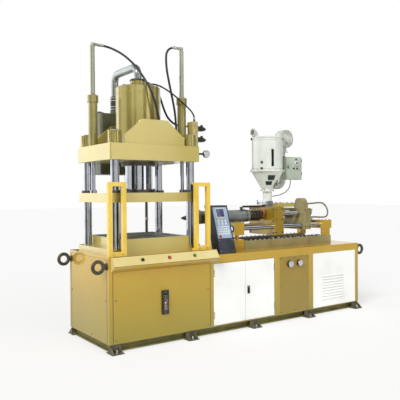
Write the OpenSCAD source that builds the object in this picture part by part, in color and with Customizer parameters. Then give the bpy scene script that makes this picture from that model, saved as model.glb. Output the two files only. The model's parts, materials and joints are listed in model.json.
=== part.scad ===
// Vertical injection moulding machine: four-column press with a horizontal injection unit.
// Millimetres. X runs along the machine, Y to the back, Z up from the floor.
// The origin is the middle of the four corner anchor holes, at floor level.

/* [Base] */
// Length of the base over both cabinets
base_len = 4310; // [4000:10:4700]
// Depth of the base from front panel to back panel
base_dep = 1136; // [1000:2:1300]
// Height of the plinth top above the floor
plinth_top = 100; // [80:1:140]
// Setback of the plinth behind the cabinet faces
plinth_in = 20; // [10:1:40]
// Thickness of a foot plate
foot_plate = 12; // [8:1:20]
// Width of a foot bracket
foot_w = 150; // [110:1:200]
// Reach of a foot in front of the cabinet face
foot_out = 80; // [70:1:110]
// Diameter of an anchor hole
anchor_d = 24; // [18:1:30]
// Width of the press cabinet
press_w = 1472; // [1350:2:1600]
// Height of the press cabinet top above the floor
press_top = 1100; // [1000:1:1200]
// Thickness of the outer panels
panel_t = 12; // [8:1:20]
// Width of a cabinet corner post
post_w = 50; // [40:1:70]
// Height of the bed top above the floor
bed_top_z = 1020; // [940:1:1090]
// Thickness of the bed slab with its fascia
bed_t = 106; // [80:1:140]
// Thickness of the cabinet floor sheet
floor_t = 10; // [10:1:16]

/* [Press] */
// Distance of the press axis behind the cabinet front
press_back = 618; // [580:1:660]
// Width of the platens
platen_w = 1266; // [1200:2:1340]
// Depth of the platens
platen_d = 958; // [900:2:1000]
// Thickness of the table plate
table_t = 66; // [50:1:90]
// Thickness of the bolster on the table
bolster_t = 114; // [90:1:140]
// Width of the bolster
bolster_w = 940; // [860:2:950]
// Open height between bolster and moving platen as photographed
daylight = 436; // [420:1:500]
// Thickness of the moving platen
moving_t = 114; // [90:1:140]
// Height between moving platen and upper platen as photographed
upper_gap = 391; // [380:1:450]
// Thickness of the upper platen
upper_t = 195; // [160:1:230]
// Diameter of a tie bar
tie_d = 105; // [90:1:115]
// Distance of a tie bar axis from the platen side
tie_edge_x = 98; // [88:1:110]
// Distance of a tie bar axis from the platen front or back
tie_edge_y = 84; // [78:1:100]
// Spacing of the mould bolt holes
mould_pitch = 700; // [600:2:740]
// Diameter of a tie bar nut
nut_d = 165; // [150:1:168]
// Height of a tie bar nut
nut_h = 150; // [110:1:180]
// Diameter of the main cylinder
cyl_d = 578; // [540:2:600]
// Height of the main cylinder above the upper platen
cyl_h = 674; // [620:1:760]
// Height of the cylinder head
head_h = 90; // [70:1:120]
// Diameter of the gland that hangs below the upper platen
gland_d = 450; // [430:2:480]
// Depth of the gland below the upper platen
gland_h = 51; // [40:1:60]
// Diameter of the main ram
ram_d = 360; // [320:2:390]
// Diameter of a lift cylinder barrel
lift_d = 115; // [100:1:130]
// Diameter of a lift rod
lift_rod_d = 50; // [40:1:60]
// Diameter of the pipe on the cylinder head
pipe_d = 100; // [76:1:120]
// Width of the oil tank behind the press
tank_w = 600; // [500:2:700]
// Depth of the oil tank behind the press
tank_d = 360; // [320:2:420]
// Height of the oil tank behind the press
tank_h = 820; // [700:2:880]
// Wall of the oil tank
tank_wall = 10; // [6:1:14]

/* [Guards and controls] */
// Width of a guard frame
guard_w = 230; // [200:1:250]
// Height of a guard frame
guard_h = 854; // [780:1:900]
// Width of a guard frame bar
guard_bar = 50; // [40:1:60]
// Length of the button console
console_len = 1470; // [1400:2:1500]
// Diameter of a push button
button_d = 44; // [36:1:50]
// Outer diameter of a lifting ring
ring_d = 170; // [140:2:176]
// Thickness of a lifting ring
ring_bar = 42; // [34:1:46]
// Width of the operator panel
op_w = 270; // [240:1:310]
// Height of the operator panel
op_h = 630; // [560:2:680]
// Depth of the operator panel
op_d = 150; // [120:1:170]
// Set-back of the operator panel's top over its foot
op_lean = 200; // [150:1:240]

/* [Cabinet] */
// Width of the door bay
door_bay = 1065; // [1000:1:1100]
// Thickness of a door
door_t = 22; // [18:1:28]
// Diameter of a door pin
pin_d = 12; // [10:1:14]
// Width of the posts between the bays
bay_post = 88; // [70:1:100]
// Width of the gauge panel
gauge_bay = 587; // [560:1:620]
// Diameter of a pressure gauge
gauge_d = 96; // [80:1:104]
// Spacing of the two cabinet gauges
gauge_pitch = 186; // [150:2:220]
// Height of the cabinet gauges above the floor
gauge_z = 804; // [740:1:840]

/* [Injection unit] */
// Distance of the front rod brackets from the press cabinet
front_at = 607; // [560:1:660]
// Distance of the injection plate from the press cabinet, as photographed
plate_at = 1375; // [1330:1:1420]
// Distance of the thrust plate behind the injection plate's face, as photographed
thrust_back = 603; // [560:1:640]
// Reach of the nozzle into the press
nozzle_in = 82; // [60:1:120]
// Distance of the barrel cover from the press cabinet
cover_at = 168; // [140:1:220]
// Length of the barrel cover
cover_len = 920; // [820:1:940]
// Height of the screw axis above the floor
axis_z = 1480; // [1475:1:1500]
// Length of the injection bed
rail_len = 1772; // [1740:2:1820]
// Width over the injection bed
rail_span = 640; // [600:2:700]
// Height of the injection bed
rail_h = 120; // [100:1:130]
// Diameter of a guide rod
guide_d = 65; // [56:1:72]
// Spacing of the guide rods
guide_y = 480; // [470:2:500]
// Thickness of the front injection plate
plate_t = 180; // [160:1:190]
// Width of the injection plates
plate_w = 580; // [570:2:600]
// Diameter of the barrel cover
cover_d = 180; // [160:1:190]
// Diameter of the barrel
barrel_d = 120; // [100:1:130]
// Diameter of the screw shaft
screw_d = 56; // [46:1:64]
// Diameter of an injection rod
inj_rod_d = 60; // [50:1:66]
// Spacing of the injection rods
inj_rod_y = 380; // [360:2:400]
// Thickness of the thrust plate
thrust_t = 150; // [130:1:160]

/* [Hopper dryer] */
// Diameter of the hopper drum
drum_d = 466; // [420:2:490]
// Height of the hopper drum
drum_h = 478; // [420:1:540]
// Height of the hopper cone
cone_h = 270; // [240:1:300]
// Diameter of the hopper neck
neck_d = 136; // [120:1:150]
// Wall of the hopper shells
hopper_wall = 5; // [3:1:8]
// Diameter of the blower housing
blower_d = 280; // [250:2:300]

/* [Hidden] */
// Facets of round pieces
$fn = 96;
// Running clearance on a radius
run_clear = 0.5;
// Gap round a moving door
door_gap = 5;
// Small seam between panels
seam = 2;

// Faces of the base
x_left = -base_len / 2;
x_right = base_len / 2;
y_front = -base_dep / 2;
y_back = base_dep / 2;
x_mid = x_left + press_w;
// Feet
foot_x = x_right - 75;
foot_pitch = foot_x / 2;
foot_hole_y = base_dep / 2 + foot_out / 2;
// Press axis and levels
px = x_left + press_w / 2;
py = y_front + press_back;
z_table = press_top + table_t;
z_bolster = z_table + bolster_t;
z_move = z_bolster + daylight;
z_move_top = z_move + moving_t;
z_upper = z_move_top + upper_gap;
z_upper_top = z_upper + upper_t;
z_cyl_top = z_upper_top + cyl_h;
z_head_top = z_cyl_top + head_h;
tie_len = z_upper_top + nut_h + 14 - press_top;
move_in = 10;
tie_x = platen_w - 2 * tie_edge_x;
tie_y = platen_d - 2 * tie_edge_y;
lift_x = tie_x / 2;
rib_half = lift_x - nut_d / 2 - 25.5;
rib_top = 178;
lift_y = 210;
lift_barrel_h = 560;
lift_collar_h = 90;
lift_collar_d = lift_d + 25;
lift_tube_d = 54;
lift_tube_h = 620;
lift_stub = 78;
lift_rod_top = z_upper_top + 100;
ram_top = z_upper_top + 150;
boss_d = 200;
boss_h = 85;
pipe_bend = 110;
pipe_run_z = z_head_top + boss_h + 195;
tank_y = py + platen_d / 2;
tank_z = z_upper - 140;
tank_top = tank_z + tank_h;
tank_neck_h = 60;
pipe_drop_y = tank_y + tank_d / 2;
sleeve_d = pipe_d + 22;
sleeve_h = 200;
return_d = 38;
// Injection unit stations along X, from the press cabinet's right face
ix_front = x_mid + front_at;
ix_rail = ix_front + 170;
ix_rail_end = ix_rail + rail_len;
ix_plate = x_mid + plate_at;
ix_plate_b = ix_plate + plate_t;
ix_thrust = ix_plate + thrust_back;
ix_thrust_b = ix_thrust + thrust_t;
ix_rear = ix_rail_end - 126;
rear_w = 210;
ix_tip = x_mid - nozzle_in;
ix_cover = x_mid + cover_at;
ix_cover_b = ix_cover + cover_len;
ix_bridge = ix_thrust - 60;
hop_x = ix_plate + 118;
feed_w = 84;
guide_z = axis_z - 165;
inj_rod_z = axis_z + 20;
plate_z0 = axis_z - 290;
plate_z1 = axis_z + 130;
bridge_z = plate_z1 - 10;
thrust_z1 = bridge_z - 25;
rail_z = bed_top_z + rail_h;
motor_d = 210;
z_throat = plate_z1 + 82;
z_cone = z_throat + 175;
z_drum = z_cone + cone_h + 26;
z_drum_top = z_drum + drum_h;
// Hose and cable routes, points chosen by hand
hose_d = 28;
thin_d = 20;
loop_d = 25;
wire_d = 12;
union_over = 9;
union_h = 54;
route_lift_left = [
  [-1876, 260, 3714], [-1806, 260, 3714], [-1732, 235, 3697], [-1660, 174, 3653], [-1603, 98, 3593],
  [-1556, 12, 3514], [-1521, -82, 3422], [-1494, -170, 3320], [-1468, -248, 3213], [-1434, -298, 3101],
  [-1395, -317, 2985], [-1356, -317, 2868], [-1322, -309, 2745], [-1298, -299, 2615], [-1290, -295, 2510],
  [-1290, -295, 2470]];
route_lift_right = [
  [-962, -160, 3714], [-992, -160, 3714], [-1040, -160, 3704], [-1081, -160, 3677], [-1108, -160, 3636],
  [-1118, -160, 3588], [-1119, -161, 3530], [-1116, -163, 3460], [-1105, -165, 3375], [-1085, -167, 3275],
  [-1057, -168, 3150], [-1026, -168, 3020], [-998, -166, 2890], [-979, -162, 2750], [-972, -160, 2610],
  [-972, -160, 2470]];
route_valve_thin = [
  [-1375, -150, 3210], [-1325, -150, 3210], [-1250, -160, 3202], [-1172, -186, 3168], [-1096, -218, 3116],
  [-1020, -246, 3058], [-946, -262, 2999], [-878, -266, 2950], [-818, -260, 2908], [-772, -250, 2869],
  [-749, -246, 2830], [-743, -245, 2803], [-743, -245, 2790]];
route_valve = [
  [-1290, 130, 3215], [-1225, 130, 3215], [-1152, 125, 3205], [-1092, 110, 3158], [-1056, 92, 3084],
  [-1034, 76, 2998], [-1006, 68, 2918], [-966, 65, 2845], [-912, 62, 2790], [-852, 52, 2752],
  [-800, 26, 2730], [-763, -18, 2721], [-743, -70, 2720], [-743, -119, 2720]];
route_motor = [
  [1595, 10, 1640], [1670, 10, 1640], [1750, 11, 1642], [1830, 13, 1647], [1924, 13, 1649],
  [1975, 11, 1643], [2019, 3, 1619], [2048, -11, 1580], [2059, -27, 1532], [2048, -44, 1485],
  [2019, -58, 1446], [1975, -66, 1422], [1924, -68, 1416], [1830, -68, 1418], [1750, -66, 1423],
  [1670, -65, 1425], [1595, -65, 1425]];
route_dryer = [[1200, -45, 2017], [1200, -45, 1970], [1190, -43, 1915], [1155, -38, 1862], [1098, -30, 1820],
  [1035, -10, 1790], [970, 25, 1772], [920, 50, 1764], [878, 50, 1764]];

z_manifold = z_upper + 540;
// Sides of a hose
hose_sides = 8;
function unit(v) = v / norm(v);
// Direction of a route at one of its points
function heading(p, i) = unit(p[min(i + 1, len(p) - 1)] - p[max(i - 1, 0)]);
// Ring of points round a route point, square to its heading
function ring_at(p, i, r, lead) =
  let (t = heading(p, i), a = unit(cross(t, lead)), b = cross(t, a))
  [for (k = [0:hose_sides - 1]) p[i] + r * (cos(k * 360 / hose_sides) * a + sin(k * 360 / hose_sides) * b)];

// Cabinet bays
x_door_end = x_mid + door_bay;
x_gauge0 = x_door_end + bay_post;
x_gauge1 = x_gauge0 + gauge_bay;
x_louvre0 = x_gauge1 + bay_post;
x_louvre1 = x_right - 72;
// Shares of the louvre bay where the slots begin and end
louvre_from = 0.2026;
louvre_to = 0.6983;
z_floor = plinth_top + floor_t;
z_bed = bed_top_z - bed_t;
door_w = (door_bay - 3 * door_gap) / 2;

// Box between two corners
module span(x0, x1, y0, y1, z0, z1) {
  translate([x0, y0, z0]) cube([x1 - x0, y1 - y0, z1 - z0]);
}

// Upright round bar
module post(x, y, z0, z1, d) {
  translate([x, y, z0]) cylinder(d = d, h = z1 - z0);
}

// Round bar along X
module bar_x(x0, x1, y, z, d) {
  translate([x0, y, z]) rotate([0, 90, 0]) cylinder(d = d, h = x1 - x0);
}

// Round bar along Y
module bar_y(x, y0, y1, z, d) {
  translate([x, y1, z]) rotate([90, 0, 0]) cylinder(d = d, h = y1 - y0);
}

// Plate with cut corners, centred on a point
module slab(x, y, z, w, d, t, c) {
  translate([x, y, z]) linear_extrude(t) polygon([
    [-w / 2 + c, -d / 2], [w / 2 - c, -d / 2], [w / 2, -d / 2 + c], [w / 2, d / 2 - c],
    [w / 2 - c, d / 2], [-w / 2 + c, d / 2], [-w / 2, d / 2 - c], [-w / 2, -d / 2 + c]]);
}

// The four tie bar places
module at_ties() {
  for (i = [-1, 1], j = [-1, 1]) translate([px + i * tie_x / 2, py + j * tie_y / 2, 0]) children();
}

// The two lift cylinder places, on one diagonal
module at_lifts() {
  for (i = [-1, 1]) translate([px + i * lift_x, py - i * lift_y, 0]) children();
}

module base_plinth() color("saddlebrown") {
  a = plinth_in;
  b = plinth_in + 40;
  fl = 14;
  span(x_left + a, x_right - a, y_front + a, y_back - a, foot_plate, foot_plate + fl);
  span(x_left + b, x_right - b, y_front + b, y_back - b, foot_plate, plinth_top);
  span(x_left + a, x_right - a, y_front + a, y_back - a, plinth_top - fl, plinth_top);
}

// One foot, its outer side towards minus Y
module foot() {
  g = 12;
  y1 = y_front + plinth_in;
  y0 = y_front - foot_out;
  difference() {
    union() {
      span(-foot_w / 2, foot_w / 2, y0, y1 + 60, 0, foot_plate);
      for (s = [-1, 1])
        translate([s * (foot_w / 2 - 20) - g / 2, 0, 0]) rotate([90, 0, 90]) linear_extrude(g)
          polygon([[y1, foot_plate - 1], [y1, plinth_top - 6], [y1 - 14, plinth_top - 6],
            [y0 + 6, foot_plate + 12], [y0 + 6, foot_plate - 1]]);
      span(-foot_w / 2 + 8, foot_w / 2 - 8, y1 - 10, y1, foot_plate - 1, plinth_top - 6);
    }
    translate([0, -foot_hole_y, -1]) cylinder(d = anchor_d, h = foot_plate + 2);
  }
}

module levelling_feet() color("saddlebrown")
  for (i = [-2:2], s = [0, 180])
    translate([i * foot_pitch, 0, 0]) rotate([0, 0, s]) foot();

module press_frame() color("goldenrod") {
  t = panel_t;
  span(x_left + t, x_mid, y_front + t, y_back - t, plinth_top, press_top - 30);
  for (x = [x_left, x_mid - post_w], y = [y_front, y_back - post_w])
    span(x, x + post_w, y, y + post_w, plinth_top, press_top - 34);
  span(x_left, x_mid, y_front, y_back, press_top - 30, press_top);
}

module press_panels() color("goldenrod") {
  t = panel_t;
  z0 = plinth_top + seam;
  z1 = press_top - 36;
  a = post_w + seam;
  span(x_left + a, x_mid - a, y_front, y_front + t, z0, z1);
  span(x_left + a, x_mid - a, y_back - t, y_back, z0, z1);
  span(x_left, x_left + t, y_front + a, y_back - a, z0, z1);
}

module lower_platen() color("darkgoldenrod") difference() {
  union() {
    slab(px, py, press_top, platen_w, platen_d, table_t, 12);
    slab(px, py, press_top, bolster_w, platen_d, table_t + bolster_t, 8);
  }
  at_ties() translate([0, 0, press_top - 1])
    cylinder(d = tie_d + 2 * run_clear, h = table_t + bolster_t + 2);
  for (i = [-1, 1], j = [-1, 1])
    translate([px + i * mould_pitch / 2, py + j * mould_pitch / 2, z_bolster - 40]) cylinder(d = 17, h = 41);
}

module tie_bars() color("silver")
  at_ties() translate([0, 0, press_top]) rotate_extrude() polygon([[0, 0], [tie_d / 2, 0],
    [tie_d / 2, tie_len - 6], [tie_d / 2 - 6, tie_len], [0, tie_len]]);

module tie_bar_nuts() color("goldenrod")
  at_ties() translate([0, 0, z_upper_top]) difference() {
    cylinder(d = nut_d, h = nut_h);
    translate([0, 0, -1]) cylinder(d = tie_d + 2 * run_clear, h = nut_h + 2);
    for (a = [0:45:315])
      rotate([0, 0, a + 22.5]) translate([nut_d / 2 - 8, -9, nut_h - 100]) cube([20, 18, 101]);
  }

module upper_platen() color("goldenrod") difference() {
  slab(px, py, z_upper, platen_w, platen_d, upper_t, 14);
  translate([px, py, z_upper - 1]) cylinder(d = gland_d, h = upper_t + 2);
  at_ties() translate([0, 0, z_upper - 1]) cylinder(d = tie_d + 2 * run_clear, h = upper_t + 2);
  at_lifts() translate([0, 0, z_upper - 1]) cylinder(d = lift_rod_d + 2 * run_clear, h = upper_t + 2);
}

module cylinder_ribs() color("goldenrod")
  for (s = [-1, 1]) translate([px, py + s * (tie_y / 2 + 20) + 20, z_upper_top])
    rotate([90, 0, 0]) linear_extrude(40) polygon([[-rib_half, 0], [rib_half, 0], [rib_half, 114],
      [rib_half - 27, 120], [rib_top, 309], [-rib_top, 309], [27 - rib_half, 120], [-rib_half, 114]]);

module main_cylinder() color("goldenrod")
  translate([px, py, 0]) rotate_extrude() polygon([
    [ram_d / 2 + run_clear, z_upper - gland_h], [gland_d / 2 - 5, z_upper - gland_h],
    [gland_d / 2, z_upper - gland_h + 5], [gland_d / 2, z_upper_top], [cyl_d / 2, z_upper_top],
    [cyl_d / 2, z_cyl_top], [ram_d / 2 + 6, z_cyl_top], [ram_d / 2 + 6, z_upper],
    [ram_d / 2 + run_clear, z_upper]]);

module cylinder_head() color("goldenrod")
  translate([px, py, z_cyl_top]) rotate_extrude() polygon([[0, 0], [cyl_d / 2 - 3, 0],
    [cyl_d / 2, 3], [cyl_d / 2, head_h - 12], [cyl_d / 2 - 12, head_h], [boss_d / 2, head_h],
    [boss_d / 2, head_h + boss_h - 4], [boss_d / 2 - 4, head_h + boss_h], [0, head_h + boss_h]]);

module prefill_pipe() color("silver") {
  z0 = z_head_top + boss_h;
  post(px, py, z0, pipe_run_z - pipe_bend, pipe_d);
  translate([px, py + pipe_bend, pipe_run_z - pipe_bend]) rotate([0, 0, 180])
    rotate([0, 90, 0]) rotate([0, 0, 90]) rotate_extrude(angle = 90) translate([pipe_bend, 0])
      circle(d = pipe_d);
  bar_y(px, py + pipe_bend, pipe_drop_y - pipe_bend, pipe_run_z, pipe_d);
  translate([px, pipe_drop_y - pipe_bend, pipe_run_z - pipe_bend])
    rotate([0, 90, 0]) rotate([0, 0, 90]) rotate_extrude(angle = 90) translate([pipe_bend, 0])
      circle(d = pipe_d);
  post(px, pipe_drop_y, tank_top + tank_neck_h, pipe_run_z - pipe_bend, pipe_d);
  post(px, pipe_drop_y, tank_top + tank_neck_h, tank_top + tank_neck_h + sleeve_h, sleeve_d);
}

// The tank with its oil return down to the press cabinet
module tank_body() color("darkgoldenrod") {
  x = px + tank_w / 2 + 96;
  y = tank_y + return_d / 2 + seam;
  z = tank_z + 100;
  bend_r = 60;
  difference() {
    slab(px, tank_y + tank_d / 2, tank_z, tank_w, tank_d, tank_h - 12, 25);
    slab(px, tank_y + tank_d / 2, tank_z + tank_wall, tank_w - 2 * tank_wall, tank_d - 2 * tank_wall,
      tank_h, 20);
  }
  post(x, y, press_top, z - bend_r, return_d);
  translate([x - bend_r, y, z - bend_r]) rotate([90, 0, 0]) rotate_extrude(angle = 90)
    translate([bend_r, 0]) circle(d = return_d);
  bar_x(px + tank_w / 2 - 30, x - bend_r, y, z, return_d);
}

module tank_lid() color("darkgoldenrod") {
  slab(px, tank_y + tank_d / 2, tank_top - 12, tank_w, tank_d, 12, 25);
  post(px, pipe_drop_y, tank_top - 1, tank_top + tank_neck_h, pipe_d + 34);
}

module lift_cylinders() color("goldenrod") {
  z0 = z_upper_top;
  z1 = z0 + lift_barrel_h;
  z2 = z1 + lift_collar_h;
  z3 = z2 + lift_tube_h;
  r = lift_rod_d / 2 + run_clear;
  at_lifts() rotate_extrude() polygon([[r, z0], [lift_d / 2, z0], [lift_d / 2, z1],
    [lift_collar_d / 2, z1], [lift_collar_d / 2, z2 - 4], [lift_collar_d / 2 - 4, z2],
    [lift_tube_d / 2, z2], [lift_tube_d / 2, z3], [lift_tube_d / 2 - 4, z3 + 4], [0, z3 + 4],
    [0, z1 - 60], [r, z1 - 60]]);
  for (i = [-1, 1]) {
    x = px + i * lift_x;
    post(x, py - i * lift_y, z3 + 3, z3 + 48, 42);
    bar_x(i < 0 ? x : x - lift_stub, i < 0 ? x + lift_stub : x, py - i * lift_y, z3 + 28, 32);
  }
}

module moving_platen() color("goldenrod") difference() {
  slab(px, py, z_move, platen_w - 2 * move_in, platen_d - 2 * move_in, moving_t, 12);
  at_ties() translate([0, 0, z_move - 1]) cylinder(d = tie_d + 2 * run_clear, h = moving_t + 2);
  at_lifts() translate([0, 0, z_move - 1]) cylinder(d = lift_rod_d, h = moving_t + 2);
  for (i = [-1, 1], j = [-1, 1])
    translate([px + i * mould_pitch / 2, py + j * mould_pitch / 2, z_move - 1]) cylinder(d = 17, h = 41);
}

module main_ram() color("silver")
  post(px, py, z_move_top, ram_top, ram_d);

module platen_flanges() color("dimgray") {
  translate([px, py, z_move_top]) difference() {
    cylinder(d = ram_d + 90, h = 40);
    translate([0, 0, -1]) cylinder(d = ram_d, h = 42);
  }
  at_ties() translate([0, 0, z_move_top]) difference() {
    cylinder(d = tie_d + 48, h = 30);
    translate([0, 0, -1]) cylinder(d = tie_d + 2 * run_clear, h = 32);
  }
}

module lift_rods() color("silver")
  at_lifts() {
    translate([0, 0, z_move]) cylinder(d = lift_rod_d, h = lift_rod_top - z_move);
    translate([0, 0, z_move_top]) cylinder(d = lift_rod_d + 36, h = 36);
  }

module valve_manifold() color("goldenrod") {
  x = px + platen_w / 2;
  span(x, x + 86, py - 318, py - 198, z_upper + 60, z_manifold);
}

module solenoid_valves() color("black") {
  x = px + platen_w / 2 + 86;
  for (z = [z_upper + 310, z_upper + 455]) {
    span(x, x + 70, py - 292, py - 224, z - 32, z + 32);
    bar_x(x + 69, x + 125, py - 258, z, 54);
  }
}

// One gauge facing the front, its back on the given plane
module gauge(x, y, z) {
  bar_y(x, y - 30, y, z, gauge_d);
}

module pressure_gauges() color("black") {
  gauge(x_gauge0 + gauge_bay / 2 - gauge_pitch / 2, y_front, gauge_z);
  gauge(x_gauge0 + gauge_bay / 2 + gauge_pitch / 2, y_front, gauge_z);
  x = px + platen_w / 2;
  bar_x(x, x + 141, py - 405, z_upper + 110, 26);
  gauge(x + 141, py - 405, z_upper + 110);
}

module guard_frames() color("gold")
  for (s = [-1, 1]) translate([px + s * (press_w / 2 - 20 - guard_w / 2), y_front + 30, press_top])
    difference() {
      translate([-guard_w / 2, 0, 0]) cube([guard_w, 50, guard_h]);
      translate([-guard_w / 2 + guard_bar, -1, guard_bar])
        cube([guard_w - 2 * guard_bar, 52, guard_h - 2 * guard_bar]);
    }

module light_curtains() color("black")
  for (s = [-1, 1]) translate([px + s * (press_w / 2 - 20 - guard_w + 17.5), y_front + 80, press_top])
    translate([-17.5, 0, 0]) cube([35, 45, guard_h]);

module button_console() color("goldenrod")
  translate([x_left + 30, y_front, 0]) rotate([90, 0, 90]) linear_extrude(console_len)
    polygon([[0, press_top], [-30, press_top], [-100, press_top - 100], [0, press_top - 180]]);

module push_buttons() color("red")
  for (x = [-333, 34, 399]) translate([px + x, y_front - 65, press_top - 50])
    rotate([atan2(100, 70), 0, 0]) cylinder(d = button_d, h = 22);

module oil_level_gauge() color("black")
  span(px - 40, px + 48, y_front - 22, y_front, 365, 654);

// A ring that stands out along X from a face
module ring(x, y, z, s) {
  r = (ring_d - ring_bar) / 2;
  translate([x + s * (ring_d / 2 + 20), y, z]) rotate([90, 0, 0]) rotate_extrude()
    translate([r, 0]) circle(d = ring_bar);
  bar_x(s < 0 ? x - 40 : x, s < 0 ? x : x + 40, y, z, 50);
  bar_x(s < 0 ? x - 10 : x, s < 0 ? x : x + 10, y, z, 84);
}

module lifting_rings() color("black")
  for (y = [y_front + 55, y_back - 55]) {
    ring(x_left, y, press_top - 110, -1);
    ring(x_right, y, bed_top_z - 110, 1);
  }

module bed_slab() color("goldenrod") difference() {
  span(x_mid, x_right, y_front, y_back, z_bed, bed_top_z);
  for (x = [x_mid + door_gap + door_t / 2, x_door_end - door_gap - door_t / 2])
    translate([x, y_front + door_t / 2, z_bed - 1]) cylinder(d = pin_d + 0.8, h = 13);
}

module cabinet_floor() color("goldenrod") difference() {
  span(x_mid, x_right, y_front, y_back, plinth_top, z_floor);
  for (x = [x_mid + door_gap + door_t / 2, x_door_end - door_gap - door_t / 2])
    translate([x, y_front + door_t / 2, plinth_top - 1]) cylinder(d = pin_d + 0.8, h = floor_t + 2);
}

module cabinet_posts() color("goldenrod")
  for (y = [y_front, y_back - 60]) {
    span(x_door_end, x_gauge0, y, y + 60, z_floor, z_bed);
    span(x_gauge1, x_louvre0, y, y + 60, z_floor, z_bed);
    span(x_louvre1, x_right, y, y + 60, z_floor, z_bed);
  }

module cabinet_panels() color("goldenrod") {
  t = panel_t;
  span(x_mid, x_door_end, y_back - t, y_back, z_floor, z_bed);
  span(x_gauge0, x_gauge1, y_back - t, y_back, z_floor, z_bed);
  span(x_louvre0, x_louvre1, y_back - t, y_back, z_floor, z_bed);
  span(x_right - t, x_right, y_front + 60, y_back - 60, z_floor, z_bed);
  span(x_gauge0, x_gauge1, y_front, y_front + t, z_floor, z_bed);
  span(x_door_end + 30, x_door_end + 40, y_front + 60, y_back - 60, z_floor, z_bed);
}

// A door with its pin line at x 0 and its leaf towards plus X
module leaf() {
  r = door_t / 2;
  z0 = z_floor + door_gap;
  z1 = z_bed - door_gap;
  post(0, y_front + r, z0, z1, door_t);
  span(0, door_w - r, y_front, y_front + door_t, z0, z1);
  post(0, y_front + r, plinth_top + 1, z0 + 1, pin_d);
  post(0, y_front + r, z1 - 1, z_bed + 11, pin_d);
}

module left_door() color("white") translate([x_mid + door_gap + door_t / 2, 0, 0]) leaf();

module right_door() color("white")
  translate([x_door_end - door_gap - door_t / 2, 0, 0]) mirror([1, 0, 0]) leaf();

module door_latch() color("black")
  span(x_mid + door_bay / 2 + 34, x_mid + door_bay / 2 + 70, y_front - 8, y_front, 470, 572);

module louvre_panel() color("white") {
  x0 = x_louvre0 + louvre_from * (x_louvre1 - x_louvre0);
  x1 = x_louvre0 + louvre_to * (x_louvre1 - x_louvre0);
  difference() {
    span(x_louvre0, x_louvre1, y_front, y_front + panel_t, z_floor, z_bed);
    for (i = [0:8])
      span(x0, x1, y_front - 1, y_front + panel_t + 1, 220 + i * 42, 232 + i * 42);
  }
  for (i = [0:8])
    translate([x0, y_front, 232 + i * 42]) rotate([90, 0, 90]) linear_extrude(x1 - x0)
      polygon([[0, 0], [0, 8], [-12, -9], [-12, -12]]);
}

module bed_rails() color("goldenrod")
  for (s = [-1, 1]) {
    y = py + s * (rail_span / 2 - 40);
    span(ix_rail, ix_rail_end, y - 40, y + 40, bed_top_z, rail_z);
  }

module rod_brackets() color("goldenrod") {
  for (s = [-1, 1]) {
    y = py + s * guide_y / 2;
    span(ix_front, ix_rail, y - 65, y + 65, bed_top_z, bed_top_z + 140);
    post(ix_front + 85, y, bed_top_z + 139, guide_z - 89, 60);
    difference() {
      span(ix_front, ix_rail, y - 65, y + 65, guide_z - 90, guide_z + 90);
      bar_x(ix_front - 1, ix_rail + 1, y, guide_z, guide_d);
    }
  }
  difference() {
    union() {
      span(ix_rear - 45, ix_rear - 45 + rear_w, py - 300, py + 300, guide_z - 65, guide_z + 65);
      for (s = [-1, 1])
        span(ix_rear, ix_rail_end, py + s * 260 - 40, py + s * 260 + 40, rail_z, guide_z - 64);
    }
    for (s = [-1, 1])
      bar_x(ix_rear - 46, ix_rear + rear_w - 44, py + s * guide_y / 2, guide_z, guide_d);
  }
}

module guide_rods() color("silver")
  for (s = [-1, 1])
    bar_x(ix_front - 12, ix_rear + rear_w - 33, py + s * guide_y / 2, guide_z, guide_d);

module injection_plate() color("goldenrod") difference() {
  span(ix_plate, ix_plate_b, py - plate_w / 2, py + plate_w / 2, plate_z0, plate_z1);
  bar_x(ix_plate - 1, ix_plate_b + 1, py, axis_z, barrel_d);
  for (s = [-1, 1]) {
    bar_x(ix_plate - 1, ix_plate_b + 1, py + s * guide_y / 2, guide_z, guide_d + 2 * run_clear);
    bar_x(ix_plate + 60, ix_plate_b + 1, py + s * inj_rod_y / 2, inj_rod_z, inj_rod_d);
  }
  span(hop_x - feed_w / 2, hop_x + feed_w / 2, py - feed_w / 2, py + feed_w / 2, axis_z, plate_z1 + 1);
}

module barrel() color("dimgray") {
  r = barrel_d / 2;
  translate([0, py, axis_z]) rotate([0, 90, 0]) difference() {
    rotate_extrude() polygon([[0, ix_tip], [10, ix_tip], [24, ix_tip + 40], [30, ix_tip + 60],
      [30, ix_tip + 130], [r - 12, ix_tip + 150], [r, ix_tip + 162], [r, ix_cover_b + 20],
      [r + 18, ix_cover_b + 20], [r + 18, ix_cover_b + 110], [r, ix_cover_b + 110],
      [r, ix_cover_b + 130], [r + 18, ix_cover_b + 130], [r + 18, ix_cover_b + 220],
      [r, ix_cover_b + 220], [r, ix_plate_b], [0, ix_plate_b]]);
    translate([0, 0, ix_cover]) cylinder(d = screw_d + 2 * run_clear, h = ix_plate_b - ix_cover + 1);
  }
}

module barrel_cover() color("gray")
  translate([0, py, axis_z]) rotate([0, 90, 0]) rotate_extrude() polygon([
    [barrel_d / 2, ix_cover], [cover_d / 2 - 8, ix_cover], [cover_d / 2, ix_cover + 8],
    [cover_d / 2, ix_cover_b], [barrel_d / 2, ix_cover_b]]);

module injection_rods() color("silver")
  for (s = [-1, 1])
    bar_x(ix_plate + 60, ix_thrust_b + 90, py + s * inj_rod_y / 2, inj_rod_z, inj_rod_d);

// Block behind the injection plate that feeds its cylinders
module injection_bridge() color("goldenrod") {
  span(ix_plate_b, ix_plate_b + 45, py - 150, py + 150, plate_z1 - 60, plate_z1 + 50);
  span(ix_plate_b, ix_bridge, py - 150, py + 150, bridge_z, plate_z1 + 50);
}

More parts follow.
